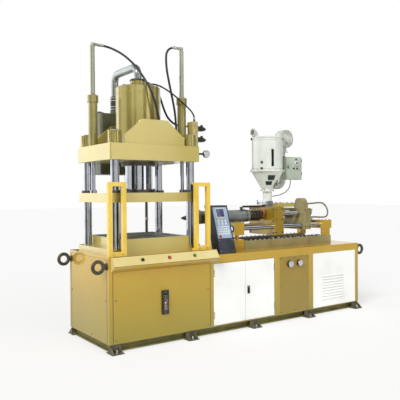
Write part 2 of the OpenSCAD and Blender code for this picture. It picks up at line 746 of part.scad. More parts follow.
module thrust_plate() color("goldenrod") difference() {
  span(ix_thrust, ix_thrust_b, py - plate_w / 2, py + plate_w / 2, plate_z0 + 60, thrust_z1);
  for (s = [-1, 1]) {
    bar_x(ix_thrust - 1, ix_thrust_b + 1, py + s * guide_y / 2, guide_z, guide_d + 2 * run_clear);
    bar_x(ix_thrust - 1, ix_thrust_b + 1, py + s * inj_rod_y / 2, inj_rod_z, inj_rod_d + 2 * run_clear);
  }
}

module hydraulic_motor() color("darkgoldenrod") {
  x = ix_thrust_b;
  bar_x(x, x + 60, py, axis_z, motor_d);
  bar_x(x + 59, x + 150, py, axis_z, motor_d - 40);
  span(x + 20, x + 150, py - 90, py + 90, axis_z + 60, plate_z1 + 45);
  bar_x(x + 20, x + 150, py, plate_z1 + 45, 150);
  span(x + 100, x + 150, py - 150, py - 80, axis_z - 90, axis_z - 20);
}

module screw_shaft() color("silver") {
  bar_x(ix_cover + 400, ix_thrust, py, axis_z, screw_d);
  bar_x(ix_thrust - 140, ix_thrust, py, axis_z, 120);
}

module hopper_cone() color("ivory") {
  w = hopper_wall;
  n = neck_d / 2;
  d = drum_d / 2;
  translate([hop_x, py, 0]) difference() {
    union() {
      span(-60, 60, -60, 60, plate_z1, z_throat);
      rotate_extrude() polygon([[0, z_throat - 1], [n, z_throat - 1], [n, z_cone - 30],
        [n + 36, z_cone - 30], [n + 36, z_cone - 14], [n + 16, z_cone - 14], [n + 16, z_cone],
        [d + 8, z_cone + cone_h], [d + 28, z_cone + cone_h], [d + 28, z_drum], [0, z_drum]]);
    }
    span(-feed_w / 2, feed_w / 2, -feed_w / 2, feed_w / 2, plate_z1 - 1, z_cone + 1);
    rotate_extrude() polygon([[0, z_cone], [n - w - 6, z_cone], [d - w, z_cone + cone_h + 8],
      [d - w, z_drum + 1], [0, z_drum + 1]]);
  }
}

module hopper_drum() color("ivory")
  translate([hop_x, py, z_drum]) difference() {
    cylinder(d = drum_d, h = drum_h);
    translate([0, 0, -1]) cylinder(d = drum_d - 2 * hopper_wall, h = drum_h + 2);
  }

module hopper_lid() color("ivory") {
  translate([hop_x, py, z_drum_top]) rotate_extrude() polygon([[0, 0], [drum_d / 2 + 6, 0],
    [drum_d / 2 + 6, 14], [drum_d / 2 - 20, 24], [0, 40]]);
  post(hop_x - 150, py + 90, z_drum_top + 10, z_drum_top + 37, 92);
  translate([hop_x - 208, py + 90, z_drum_top + 37]) rotate([90, 0, 0])
    rotate_extrude(angle = 90) translate([58, 0]) circle(d = 92);
}

module hopper_blower() color("silver") {
  x = hop_x + drum_d / 2 + blower_d / 2 - 20;
  z = z_drum_top + 12;
  xd = hop_x + drum_d / 2 + 82;
  difference() {
    union() {
      bar_y(x, py - 60, py + 70, z, blower_d);
      span(xd - 45, xd + 45, py - 45, py + 55, z - blower_d / 2 - 60, z);
      span(xd - 62, xd + 62, py - 60, py + 70, z - blower_d / 2 - 72, z - blower_d / 2 - 58);
      post(xd, py + 5, z_cone + 150, z - blower_d / 2 - 60, 100);
      translate([xd - 95, py + 5, z_cone + 150]) rotate([90, 0, 0]) mirror([0, 1, 0])
        rotate_extrude(angle = 90) translate([95, 0]) circle(d = 100);
      bar_x(hop_x + 60, xd - 95, py + 5, z_cone + 55, 100);
      bar_y(x, py - 105, py - 59, z, blower_d * 0.5);
    }
    translate([hop_x, py, 0]) rotate_extrude() polygon([[0, z_cone - 60], [neck_d / 2 + 16, z_cone - 60],
      [neck_d / 2 + 16, z_cone], [drum_d / 2 + 8, z_cone + cone_h], [drum_d / 2 + 8, z_drum_top + 200],
      [0, z_drum_top + 200]]);
  }
}

module dryer_box() color("darkseagreen")
  span(hop_x + drum_d / 2 + 32, hop_x + drum_d / 2 + 355, py - 145, py - 45, z_cone + 150, z_cone + 500);

// Hose swept along a route; lead is a direction that the route never takes
module hose(p, d, lead) {
  n = len(p);
  m = hose_sides;
  polyhedron(points = [for (i = [0:n - 1]) each ring_at(p, i, d / 2, lead)],
    faces = concat([[for (k = [0:m - 1]) k]], [[for (k = [m - 1:-1:0]) (n - 1) * m + k]],
      [for (i = [0:n - 2], k = [0:m - 1]) let (a = i * m + k, b = i * m + (k + 1) % m)
        each [[a, a + m, b + m], [a, b + m, b]]]));
}

module hose_lift_left() color("black") hose(route_lift_left, hose_d, [1, 1, 0]);

module hose_lift_right() color("black") hose(route_lift_right, hose_d, [0, 1, 0]);

module valve_hose_thin() color("black") hose(route_valve_thin, thin_d, [0, 1, 0]);

module valve_hose() color("black") hose(route_valve, hose_d, [1, 1, 0]);

module motor_hose() color("black") hose(route_motor, loop_d, [0, 1, 0]);

module dryer_cable() color("black") hose(route_dryer, wire_d, [0, 1, 0]);

// Unions that the press hoses end in
module hose_fittings() color("dimgray") {
  for (p = [[px + 129, py - 345], [px + lift_x - 88, py - lift_y]])
    post(p[0], p[1], z_upper_top, z_upper_top + union_h, hose_d + union_over);
  for (p = [[px + 44, py - 200, 47], [px + 129, py + 80, 52]])
    span(p[0] - 36, p[0], p[1] - 17, p[1] + 17, z_head_top, z_head_top + p[2]);
  x = px + platen_w / 2 + 43;
  post(x, py - 295, z_manifold, z_manifold + 29, thin_d + union_over);
  bar_y(x, py - 198, py - 169, z_manifold - 41, hose_d + union_over);
}

module operator_panel() color("midnightblue")
  translate([x_mid + 176, y_front + 90, bed_top_z]) rotate([90, 0, 90]) linear_extrude(op_w)
    polygon([[0, 0], [op_d, 0], [op_lean + op_d, op_h], [op_lean, op_h]]);

base_plinth();
levelling_feet();
press_frame();
press_panels();
lower_platen();
tie_bars();
tie_bar_nuts();
upper_platen();
cylinder_ribs();
main_cylinder();
cylinder_head();
prefill_pipe();
tank_body();
tank_lid();
lift_cylinders();
moving_platen();
main_ram();
platen_flanges();
lift_rods();
valve_manifold();
solenoid_valves();
pressure_gauges();
guard_frames();
light_curtains();
button_console();
push_buttons();
oil_level_gauge();
lifting_rings();
bed_slab();
cabinet_floor();
cabinet_posts();
cabinet_panels();
left_door();
right_door();
louvre_panel();
bed_rails();
rod_brackets();
guide_rods();
injection_plate();
barrel();
barrel_cover();
injection_rods();
hopper_cone();
hopper_drum();
hopper_lid();
hopper_blower();
dryer_box();
thrust_plate();
hydraulic_motor();
screw_shaft();
operator_panel();
door_latch();
injection_bridge();
hose_fittings();
dryer_cable();
hose_lift_left();
hose_lift_right();
valve_hose_thin();
valve_hose();
motor_hose();
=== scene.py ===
import json
import math

import bpy
import numpy as np
from mathutils import Matrix, Vector


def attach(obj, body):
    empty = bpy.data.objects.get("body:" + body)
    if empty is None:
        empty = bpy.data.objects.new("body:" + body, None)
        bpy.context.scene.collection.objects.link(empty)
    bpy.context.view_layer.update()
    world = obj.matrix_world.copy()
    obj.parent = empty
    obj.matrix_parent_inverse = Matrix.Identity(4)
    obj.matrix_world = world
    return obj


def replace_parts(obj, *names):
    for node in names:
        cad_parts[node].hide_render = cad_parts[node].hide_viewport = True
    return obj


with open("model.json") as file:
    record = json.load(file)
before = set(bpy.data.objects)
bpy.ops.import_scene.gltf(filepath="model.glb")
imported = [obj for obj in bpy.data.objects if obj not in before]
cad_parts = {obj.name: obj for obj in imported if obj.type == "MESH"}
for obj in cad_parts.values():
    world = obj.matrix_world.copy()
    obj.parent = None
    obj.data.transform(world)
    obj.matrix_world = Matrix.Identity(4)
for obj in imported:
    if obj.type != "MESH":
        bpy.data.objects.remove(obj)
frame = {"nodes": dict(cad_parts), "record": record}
scene = bpy.context.scene
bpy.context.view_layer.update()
print("stage: frame loaded")

# Main stations of the machine, in metres
place = {
    "pressX": -1.419, "pressY": 0.05, "left": -2.155, "right": 2.155, "front": -0.568, "back": 0.568,
    "headTop": 3.18, "axis": 1.48, "railTop": 1.14,
}


# Colour and shader helpers

def hexColour(text):
    parts = [int(text[i:i + 2], 16) / 255 for i in (1, 3, 5)]
    linear = [p / 12.92 if p <= 0.04045 else ((p + 0.055) / 1.055) ** 2.4 for p in parts]
    return (linear[0], linear[1], linear[2], 1.0)


def addNode(tree, kind, inputs=None, **settings):
    node = tree.nodes.new("ShaderNode" + kind)
    for key, value in settings.items():
        setattr(node, key, value)
    for key, value in (inputs or {}).items():
        socket = node.inputs[key]
        if isinstance(value, bpy.types.NodeSocket):
            tree.links.new(value, socket)
        else:
            socket.default_value = value
    return node


# Empty node tree of a new material or world
def emptyTree(owner):
    owner.use_nodes = True
    owner.node_tree.nodes.clear()
    return owner.node_tree


def addRamp(tree, factor, stops):
    node = addNode(tree, "ValToRGB", {0: factor})
    ramp = node.color_ramp
    ramp.interpolation = "EASE"
    while len(ramp.elements) < len(stops):
        ramp.elements.new(0.5)
    for element, (position, colour) in zip(ramp.elements, stops):
        element.position = position
        element.color = colour
    return node.outputs[0]


# A finish: patchy colour, roughness that varies, a fine bump and rounded edges painted paler, partly as wear
# and partly as painted highlight.
# The grain of paint and metal is drawn coarser than it is, as it would be too fine to show
def makeFinish(name, look):
    material = bpy.data.materials.new(name)
    tree = emptyTree(material)
    output = addNode(tree, "OutputMaterial")
    shader = addNode(tree, "BsdfPrincipled", {
        "Metallic": look.get("metallic", 0.0), "IOR": look.get("ior", 1.5),
        "Coat Weight": look.get("coat", 0.0), "Coat Roughness": look.get("coatRough", 0.15)})
    tree.links.new(shader.outputs[0], output.inputs["Surface"])
    spot = addNode(tree, "TexCoord").outputs["Object"]
    stretch = look.get("stretch", (1.0, 1.0, 1.0))
    mapped = addNode(tree, "Mapping", {"Vector": spot, "Scale": stretch}).outputs[0]
    patch = addNode(tree, "TexNoise", {
        "Vector": spot, "Scale": 1000.0 / look["patchMm"], "Detail": 2.0, "Roughness": 0.45})
    grain = addNode(tree, "TexNoise", {
        "Vector": mapped, "Scale": 1000.0 / look["grainMm"], "Detail": 3.0, "Roughness": 0.5})
    dark, base, light = [hexColour(tone) for tone in look["tones"].split()]
    colour = addRamp(tree, patch.outputs[0], [(0.28, dark), (0.5, base), (0.74, light)])
    # Painted shade: the colour turns toward the low tone near the floor, darker and greener at the bottom
    if "low" in look:
        height = addNode(tree, "SeparateXYZ", {0: spot}).outputs["Z"]
        floorShadeShare = addNode(tree, "MapRange", {
            "Value": height, "From Min": 1.05, "From Max": 0.15, "To Min": 0.0, "To Max": 0.9})
        floorShaded = addNode(tree, "Mix", {
            0: floorShadeShare.outputs[0], 6: colour, 7: hexColour(look["low"])}, data_type="RGBA")
        colour = floorShaded.outputs[2]
    bevel = addNode(tree, "Bevel", {"Radius": look["edgeMm"] / 1000.0}, samples=4)
    # Edges painted paler: partly wear, partly painted highlight
    if look["edge"]:
        flat = addNode(tree, "NewGeometry").outputs["Normal"]
        turn = addNode(tree, "VectorMath", {0: bevel.outputs[0], 1: flat}, operation="DOT_PRODUCT")
        edgeWearAndHighlight = addNode(tree, "MapRange", {
            "Value": turn.outputs["Value"], "From Min": 0.97, "From Max": 0.80, "To Min": 0.0, "To Max": 1.0})
        ragged = addNode(tree, "Math", {0: edgeWearAndHighlight.outputs[0], 1: grain.outputs[0]},
                         operation="MULTIPLY")
        mix = addNode(tree, "Mix", {
            0: ragged.outputs[0], 6: colour, 7: hexColour(look["edge"])}, data_type="RGBA")
        colour = mix.outputs[2]
    tree.links.new(colour, shader.inputs["Base Color"])
    rough = addNode(tree, "MapRange", {
        "Value": patch.outputs[0], "From Min": 0.3, "From Max": 0.7, "To Min": look["smooth"],
        "To Max": look["rough"]})
    tree.links.new(rough.outputs[0], shader.inputs["Roughness"])
    bump = addNode(tree, "Bump", {
        "Strength": look["bump"], "Distance": look.get("bumpMm", 0.2) / 1000.0,
        "Height": grain.outputs[0], "Normal": bevel.outputs[0]})
    tree.links.new(bump.outputs[0], shader.inputs["Normal"])
    return material


# Clear window: a thin clear shader that lets most light by and keeps its gloss
def makeClear(name, tint):
    material = bpy.data.materials.new(name)
    tree = emptyTree(material)
    output = addNode(tree, "OutputMaterial")
    shader = addNode(tree, "BsdfPrincipled", {
        "Base Color": hexColour(tint), "Roughness": 0.04, "IOR": 1.49, "Transmission Weight": 1.0})
    tree.links.new(shader.outputs[0], output.inputs["Surface"])
    return material


# Columns of the finishes: tones from dark to light, tone of the edges (rubbed paint and painted highlight),
# size of patches and of grain, smoothest and roughest, strength of the bump and rounding of the edges; what
# else a finish has is named
finishColumns = ("tones", "edge", "patchMm", "grainMm", "smooth", "rough", "bump", "edgeMm")
finishes = {
    # Dull olive base, paler at its edges: rubbed paint and painted highlight
    "brown_paint": ("Olive brown base enamel", "#5C5626 #6B652E #7B743A", "#A2935A",
        190, 3.0, 0.42, 0.58, 0.35, 3),
    # Warm gold with a soft sheen; painted shade makes it greener and darker toward the floor
    "gold_paint": ("Gold satin enamel", "#C69E2C #C9A230 #CDA736", "#E2D7A4",
        420, 2.5, 0.28, 0.34, 0.15, 5, {"metallic": 0.3, "coat": 0.6, "coatRough": 0.08, "low": "#978A30"}),
    # Painted highlight: a paler copy of the gold, with the same sheen, for plates that face the light
    "pale_gold_paint": ("Pale gold satin enamel", "#BFAE60 #C2B163 #C6B569", "#E9E1B8",
        420, 2.5, 0.28, 0.34, 0.15, 5, {"metallic": 0.3, "coat": 0.6, "coatRough": 0.08}),
    # Soft bright streaks along the turned cylinder
    "gloss_gold_paint": ("Polished gold enamel", "#98894A #A79954 #B4A764", "#DDD5AE",
        500, 2.5, 0.2, 0.26, 0.06, 4, {"metallic": 0.55, "coat": 0.6, "coatRough": 0.14}),
    # Greener gold with narrow bright streaks
    "olive_gold_paint": ("Olive gold enamel", "#857C44 #938A4E #A1985E", "#CFC79A",
        400, 2.5, 0.18, 0.25, 0.06, 4, {"metallic": 0.5, "coat": 0.6, "coatRough": 0.12}),
    # Flat gold brown that takes little light
    "dark_gold_paint": ("Dark gold enamel", "#867B50 #978C60 #A79C70", "#CBC29A",
        260, 2.5, 0.34, 0.5, 0.25, 4, {"metallic": 0.1}),
    # Painted shade: the gold tank in shade behind the platen, drawn dull olive grey with hardly any shine
    "shaded_tank_paint": ("Olive grey tank enamel", "#4A4C36 #595B43 #696B53", "#93957C",
        240, 2.5, 0.34, 0.5, 0.25, 4),
    # Soft mirror, long grey streaks down the tubes
    "dull_tube": ("Dull plated tube", "#9A9C86 #A9AB94 #B7B9A4", None,
        600, 1.4, 0.1, 0.13, 0.02, 1, {"metallic": 0.6, "bumpMm": 0.05}),
    # Silvery grey with one wide bright streak
    "pipe_enamel": ("Silver grey pipe enamel", "#858A84 #969B95 #A6ABA4", "#C6CAC4",
        260, 1.6, 0.16, 0.24, 0.04, 2, {"metallic": 0.75, "coat": 0.4}),
    # Painted highlight: the console's gold painted pale where its sloping face meets the lamp; smooth, it
    # shows the lamp as a wide glow
    "lit_console_paint": ("Pale console enamel", "#D9C880 #DDCC87 #E2D18E", "#F0E6B8",
        300, 2.5, 0.28, 0.34, 0.12, 4, {"metallic": 0.15, "coat": 0.6, "coatRough": 0.08}),
    # Grey steel with fine lines along its length
    "ground_plate": ("Ground steel plate", "#777E76 #868D85 #959B94", "#B9BEB8",
        140, 1.5, 0.28, 0.38, 0.12, 2, {"metallic": 0.7, "stretch": (0.15, 1.0, 1.0)}),
    # Rough dark casting, dull
    "foot_paint": ("Brown grey foot enamel", "#4B4736 #5B5644 #6B6653", "#A39D86",
        90, 3.0, 0.36, 0.5, 0.35, 3),
    # Gold under a film of oil, greyer and flatter
    "dull_gold_paint": ("Oil dulled gold enamel", "#867C50 #958A5B #A2986B", "#C9C19A",
        220, 2.5, 0.34, 0.48, 0.25, 4, {"metallic": 0.1}),
    # Painted shade: a darker copy of the gold for panels that get less light, also darker toward the floor
    "shaded_gold_paint": ("Worn gold satin enamel", "#9D8024 #A18427 #A5892D", "#D8CD9C",
        420, 2.5, 0.28, 0.38, 0.15, 5, {"metallic": 0.25, "coat": 0.5, "coatRough": 0.1, "low": "#937E34"}),
    # Matt brown woven sleeve
    "lead_brown": ("Brown glass braid lead", "#4A2A16 #5C371E #70472A", None,
        40, 0.9, 0.5, 0.66, 0.4, 0.5),
    # Soft orange sleeve with a faint shine
    "lead_orange": ("Orange silicone lead", "#A9621D #BD7227 #CC8438", None,
        40, 0.9, 0.36, 0.5, 0.2, 0.5),
    # Clean even white without glare
    "white_paint": ("White powder coat", "#E9EAE6 #F2F3F0 #F7F8F5", "#FFFFFF",
        500, 1.6, 0.36, 0.48, 0.22, 3),
    # Strong yellow that marks the guards out
    "yellow_paint": ("Safety yellow enamel", "#DDB93C #E6C347 #ECCC55", "#F4E29A",
        240, 2.2, 0.28, 0.4, 0.2, 4, {"coat": 0.2}),
    # Mirror bars, black and white streaks from the room
    "chrome_steel": ("Hard chrome plate", "#A6A9AE #B6B9BE #C5C8CC", None,
        160, 1.2, 0.05, 0.09, 0.02, 2, {"metallic": 1.0, "bumpMm": 0.05}),
    # Dark grey metal, reflections blurred
    "dark_steel": ("Ground dark steel", "#4B4946 #5C5A57 #6D6B68", "#97948F",
        90, 1.5, 0.32, 0.48, 0.2, 2, {"metallic": 0.9}),
    # Mid grey cover with half a shine
    "grey_cover": ("Grey stoved sheet", "#7C827E #8C928D #9CA29D", "#C3C8C3",
        200, 1.8, 0.34, 0.5, 0.2, 3, {"metallic": 0.35}),
    # Smooth off white with a soft highlight
    "cream_paint": ("Cream baked enamel", "#CDD1C8 #D9DDD5 #E3E6DF", "#F4F6F0",
        300, 1.8, 0.28, 0.36, 0.18, 3, {"coat": 0.3}),
    # Pale cast shell, a little uneven
    "bright_sheet": ("Pale blower casting enamel", "#B0B5AB #C0C5BA #CED2C8", "#F4F6F0",
        180, 2.0, 0.3, 0.44, 0.25, 4, {"metallic": 0.15}),
    # Fine dimples that break the highlight up
    "green_grey_paint": ("Grey green hammer enamel", "#A0AB9B #B0BAA9 #BEC7B8", "#DDE3D8",
        120, 3.5, 0.32, 0.46, 0.4, 3, {"bumpMm": 0.3}),
    # Deep black with a faint grey sheen
    "black_plastic": ("Black moulded plastic", "#141415 #1C1C1E #262628", "#48484C",
        60, 0.9, 0.38, 0.55, 0.3, 2, {"ior": 1.53}),
    # Small bright red cap
    "button_plastic": ("Red button plastic", "#A81A15 #BE2019 #CC2E25", None,
        30, 0.8, 0.2, 0.26, 0.05, 1),
    # Blue black with a fine texture
    "navy_paint": ("Navy textured enamel", "#1B2029 #232A35 #2C3441", "#56606F",
        150, 1.4, 0.38, 0.52, 0.35, 4),
    # Rough brown black casting
    "black_iron": ("Black painted iron", "#332E20 #403A2A #4E4836", "#7A7054",
        70, 2.2, 0.4, 0.58, 0.45, 3, {"bumpMm": 0.4}),
    # Matt black hose
    "black_rubber": ("Black hose rubber", "#0E0F12 #14161A #1C1E23", None,
        90, 1.2, 0.42, 0.6, 0.4, 1, {"bumpMm": 0.2, "ior": 1.52}),
    # Grey brown weave, quite matt
    "braid_hose": ("Dusty braided hose", "#625B48 #736B56 #857D67", None,
        60, 1.8, 0.45, 0.6, 0.45, 1),
    # Small bright screw heads and fittings
    "zinc": ("Bright zinc plate", "#A5A49C #B9B8B0 #CBCAC3", "#E9E8E2",
        25, 0.8, 0.28, 0.38, 0.12, 1, {"metallic": 0.95}),
    # Paper white dial
    "dial_white": ("Dial face white", "#ECECE6 #F3F3EE #F8F8F4", None,
        40, 0.7, 0.4, 0.5, 0.08, 0.5),
    # Pale blue key film
    "panel_blue": ("Pale blue membrane", "#93ABC1 #9EB6CC #ABC1D5", None,
        120, 0.8, 0.3, 0.4, 0.12, 1),
    # Dark blue glassy display
    "screen_blue": ("Dark blue display", "#1A2558 #22306C #2C3C80", None,
        60, 0.6, 0.12, 0.2, 0.03, 1, {"coat": 0.6, "coatRough": 0.05}),
    # White keys, a soft shine
    "key_white": ("White key plastic", "#D8DDE2 #E6EAEE #F0F3F5", None,
        25, 0.7, 0.3, 0.42, 0.1, 0.6),
    # Small green cap
    "green_plastic": ("Green button plastic", "#1C6B33 #23803E #2E934A", None,
        30, 0.8, 0.2, 0.26, 0.05, 1),
    # Glassy window, nearly black
    "dark_window": ("Smoked sight window", "#15181C #1D2126 #262B31", None,
        90, 0.8, 0.08, 0.14, 0.02, 0.6, {"coat": 0.5, "coatRough": 0.04}),
    # Dark plate with a faint metal sheen
    "plate_dark": ("Dark anodised plate", "#23302C #2C3B36 #374741", "#7D8A84",
        40, 0.6, 0.28, 0.38, 0.06, 0.6, {"metallic": 0.5}),
    # Warm oil behind the window
    "amber_oil": ("Amber oil column", "#9A6A1E #B07C28 #C08E38", None,
        40, 0.8, 0.1, 0.16, 0.02, 0.6),
    # Bands stained brown by heat
    "heater_mica": ("Heater band stainless", "#6A5C4B #7D6D59 #93836D", "#B8AA94",
        60, 1.6, 0.3, 0.46, 0.22, 1.5, {"metallic": 0.85}),
    # Blue grey casting, dull
    "throat_grey": ("Blue grey cast iron enamel", "#5B6470 #69727E #78818C", "#A2A9B1",
        80, 1.6, 0.36, 0.5, 0.3, 2),
}
looks = {}
for key, (name, *row) in finishes.items():
    more = row.pop() if isinstance(row[-1], dict) else {}
    looks[key] = makeFinish(name, {**dict(zip(finishColumns, row)), **more})
looks["clear"] = makeClear("Clear acrylic", "#F6F8F8")
for row in frame["record"]["subparts"]:
    target = frame["nodes"][row["node"]]
    target.data.materials.clear()
    target.data.materials.append(looks[row["material_slot"]])
# Nodes whose shade in the photograph differs from the rest of their slot
shades = {
    "shaded_tank_paint": ("tank_body", "tank_lid"),
    "pale_gold_paint": ("upper_platen", "cylinder_ribs", "moving_platen", "lower_platen",
                        "injection_bridge", "valve_manifold"),
    "gloss_gold_paint": ("main_cylinder", "cylinder_head", "tie_bar_nuts"),
    "olive_gold_paint": ("lift_cylinders",),
    "pipe_enamel": ("prefill_pipe",),
    "dull_gold_paint": ("bed_rails", "thrust_plate"),
    "shaded_gold_paint": ("cabinet_panels", "injection_plate"),
    "foot_paint": ("levelling_feet",),
    "lit_console_paint": ("button_console",),
}
for finish, names in shades.items():
    for name in names:
        frame["nodes"][name].data.materials[0] = looks[finish]
print("stage: finishes made", len(looks))

# Directions
up = (0, 0, 1)
toFront = (0, -1, 0)
toBack = (0, 1, 0)
toLeft = (-1, 0, 0)
toRight = (1, 0, 0)


# Surface helpers

def unit(vector):
    vector = np.asarray(vector, float)
    return vector / np.linalg.norm(vector)


def crossAxes(axis):
    axis = unit(axis)
    helper = np.array((0.0, 0.0, 1.0)) if abs(axis[2]) < 0.9 else np.array((1.0, 0.0, 0.0))
    first = unit(np.cross(helper, axis))
    return first, np.cross(axis, first)


# Quads between neighbouring rows of a grid of points; the rows close into a loop or end in caps
def gridFaces(rows, columns, closed=False):
    i, j = np.indices((rows if closed else rows - 1, columns))
    below = (i + 1) % rows * columns
    after = (j + 1) % columns
    quads = np.stack((i * columns + j, i * columns + after, below + after, below + j), axis=-1)
    faces = quads.reshape(-1, 4).tolist()
    if not closed:
        faces.append(list(range(columns - 1, -1, -1)))
        faces.append(list(range((rows - 1) * columns, rows * columns)))
    return faces


# Outline of a turned shape: radius and height pairs in millimetres
def mm(*pairs):
    return np.array(pairs) / 1000.0


# Turned shape: point = centre + height along the axis + radius times cos and sin of the angle
def turned(profile, centre, axis, count, closed=False):
    axis = unit(axis)
    first, second = crossAxes(axis)
    angle = np.linspace(0, 2 * math.pi, count, endpoint=False)
    circle = np.outer(np.cos(angle), first) + np.outer(np.sin(angle), second)
    radius, height = np.array(profile, float).T[:, :, None, None]
    points = np.asarray(centre, float) + height * axis + radius * circle
    return points.reshape(-1, 3), gridFaces(len(profile), count, closed)


# Ring: a cross-section outline turned all the way round any axis
def ring(outline, centre, axis, count=32):
    return turned(outline, centre, axis, count, closed=True)


# Flat band round an axis with bevelled edges, by its inner and outer radius and half its width
def bandRing(inner, outer, half, bevel, centre, axis, count=48):
    outline = [(inner, -half), (outer, bevel - half), (outer, half - bevel), (inner, half)]
    return ring(outline, centre, axis, count)


# Part ring: a cross-section outline turned part of the way round an upright axis
def partRing(centre, outline, start, end, steps):
    angle = np.radians(np.linspace(start, end, steps + 1))
    radius, height = np.array(outline, float).T
    x = centre[0] + np.outer(np.cos(angle), radius)
    y = centre[1] + np.outer(np.sin(angle), radius)
    points = np.stack((x, y, np.broadcast_to(height, x.shape)), axis=-1)
    return points.reshape(-1, 3), gridFaces(steps + 1, len(outline))


# Slab with round corners and edges: a rounded rectangle drawn in at both faces along a quarter circle
def roundSlab(low, high, radius, corner):
    low = np.asarray(low, float)
    high = np.asarray(high, float)
    half = (high - low) / 2
    corner = max(corner or radius, radius * 1.05)
    lean = np.radians((-80, -40, 0, 0.5, 40, 80))[:, None, None]
    end = np.array((-1, -1, -1, 1, 1, 1))[:, None, None]
    angle = np.radians(np.add.outer((0, 90, 180, 270), np.linspace(0, 90, 5)))
    bend = corner - radius * (1 - np.cos(lean))
    x = np.array((1, -1, -1, 1))[:, None] * (half[0] - corner) + bend * np.cos(angle)
    y = np.array((1, 1, -1, -1))[:, None] * (half[1] - corner) + bend * np.sin(angle)
    z = np.broadcast_to(end * abs(half[2] - radius) + radius * np.sin(lean), x.shape)
    points = np.stack((x, y, z), axis=-1).reshape(-1, 3) + (high + low) / 2
    return points, gridFaces(len(lean), angle.size)


# Slab placed by a corner frame: origin plus amounts along three directions
def framedSlab(origin, axes, low, high, radius, corner=None):
    points, faces = roundSlab(low, high, radius, corner)
    return np.asarray(origin, float) + points @ np.asarray(axes, float), faces


# Tube: circles square to a path, each turned from the last by the smallest turn
def tube(path, radius, sides, closed=False):
    path = np.asarray(path, float)
    if closed:
        along = np.roll(path, -1, axis=0) - np.roll(path, 1, axis=0)
    else:
        along = np.gradient(path, axis=0)
        along[0] = path[1] - path[0]
        along[-1] = path[-1] - path[-2]
    along = along / np.linalg.norm(along, axis=1)[:, None]
    first = crossAxes(along[0])[0]
    firsts = []
    for step in along:
        first = unit(first - np.dot(first, step) * step)
        firsts.append(first)
    firsts = np.array(firsts)
    seconds = np.cross(along, firsts)
    radii = np.broadcast_to(np.asarray(radius, float), (len(path),))[:, None, None]
    angle = np.linspace(0, 2 * math.pi, sides, endpoint=False)[:, None]
    points = path[:, None] + radii * (np.cos(angle) * firsts[:, None] + np.sin(angle) * seconds[:, None])
    return points.reshape(-1, 3), gridFaces(len(path), sides, closed)


# Smooth path through points: each stretch is a cubic that keeps the slope at both its ends,
# where a slope is the mean of the two directions there, weighed by the other stretch's length
def smoothPath(points, parts):
    points = np.asarray(points, float)
    gaps = np.linalg.norm(np.diff(points, axis=0), axis=1)[:, None]
    steps = np.diff(points, axis=0) / gaps
    inner = (steps[:-1] * gaps[1:] + steps[1:] * gaps[:-1]) / (gaps[:-1] + gaps[1:])
    slope = np.vstack((steps[:1], inner, steps[-1:]))[:, None]
    t = np.linspace(0, 1, parts, endpoint=False)[:, None]
    gap = gaps[:, None]
    made = ((1 + 2 * t) * (1 - t) ** 2 * points[:-1, None] + t * (1 - t) ** 2 * gap * slope[:-1]
            + t * t * (3 - 2 * t) * points[1:, None] + t * t * (t - 1) * gap * slope[1:])
    return np.vstack((made.reshape(-1, 3), points[-1:]))


def pathLength(points):
    return float(np.linalg.norm(np.diff(np.asarray(points), axis=0), axis=1).sum())


# One object from many surfaces, with its finish, its material slot and the body that carries it
def dress(name, surfaces, look, body="frame"):
    points = []
    faces = []
    start = 0
    for part, quads in surfaces:
        points.append(part)
        faces += [[start + i for i in quad] for quad in quads]
        start += len(part)
    sharpAngle = 38
    mesh = bpy.data.meshes.new(name)
    mesh.from_pydata(np.concatenate(points).tolist(), [], faces)
    mesh.materials.append(looks[look])
    mesh.polygons.foreach_set("use_smooth", [True] * len(mesh.polygons))
    mesh.set_sharp_from_angle(angle=math.radians(sharpAngle))
    mesh.update()
    piece = bpy.data.objects.new(name, mesh)
    scene.collection.objects.link(piece)
    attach(piece, body)
    return piece


# Socket head: a turned head with a round well in its top
def socketHead(spot, axis, radius, height):
    profile = [(radius, 0), (radius, height * 0.82), (radius * 0.9, height), (radius * 0.55, height),
               (radius * 0.5, height * 0.45), (radius * 0.12, height * 0.42)]
    return turned(profile, spot, axis, 14)


# Socket heads at many spots, as high as their radius unless said
def socketHeads(spots, axis, radius, height=None):
    return [socketHead(spot, axis, radius, height or radius) for spot in spots]


# Domed head with a cross slot left out: a low cap
def panHead(spot, axis, radius, height):
    profile = [(radius, 0), (radius * 0.97, height * 0.45), (radius * 0.75, height * 0.85),
               (radius * 0.35, height), (radius * 0.1, height * 0.98)]
    return turned(profile, spot, axis, 12)


# Six-sided head with a round chamfer, on a washer
def hexHead(spot, axis, across, height):
    radius = across / math.sqrt(3)
    washer = turned([(radius * 1.25, 0), (radius * 1.25, height * 0.14), (radius * 1.15, height * 0.18)],
                    spot, axis, 18)
    head = turned([(radius, height * 0.18), (radius, height * 0.86), (radius * 0.82, height)], spot, axis, 6)
    return [washer, head]


def spread(start, end, count):
    return [start + (end - start) * i / (count - 1) for i in range(count)]


# Every spot of a grid
def gridSpots(xs, ys, zs):
    return [(x, y, z) for x in xs for y in ys for z in zs]


# Spots on a bolt circle; the plane names the two coordinates that take cos and sin
def circleSpots(centre, radius, count, start=0, plane=(0, 1)):
    spots = np.tile(np.asarray(centre, float), (count, 1))
    angle = np.radians(start + 360 / count * np.arange(count))
    spots[:, plane[0]] += radius * np.cos(angle)
    spots[:, plane[1]] += radius * np.sin(angle)
    return spots


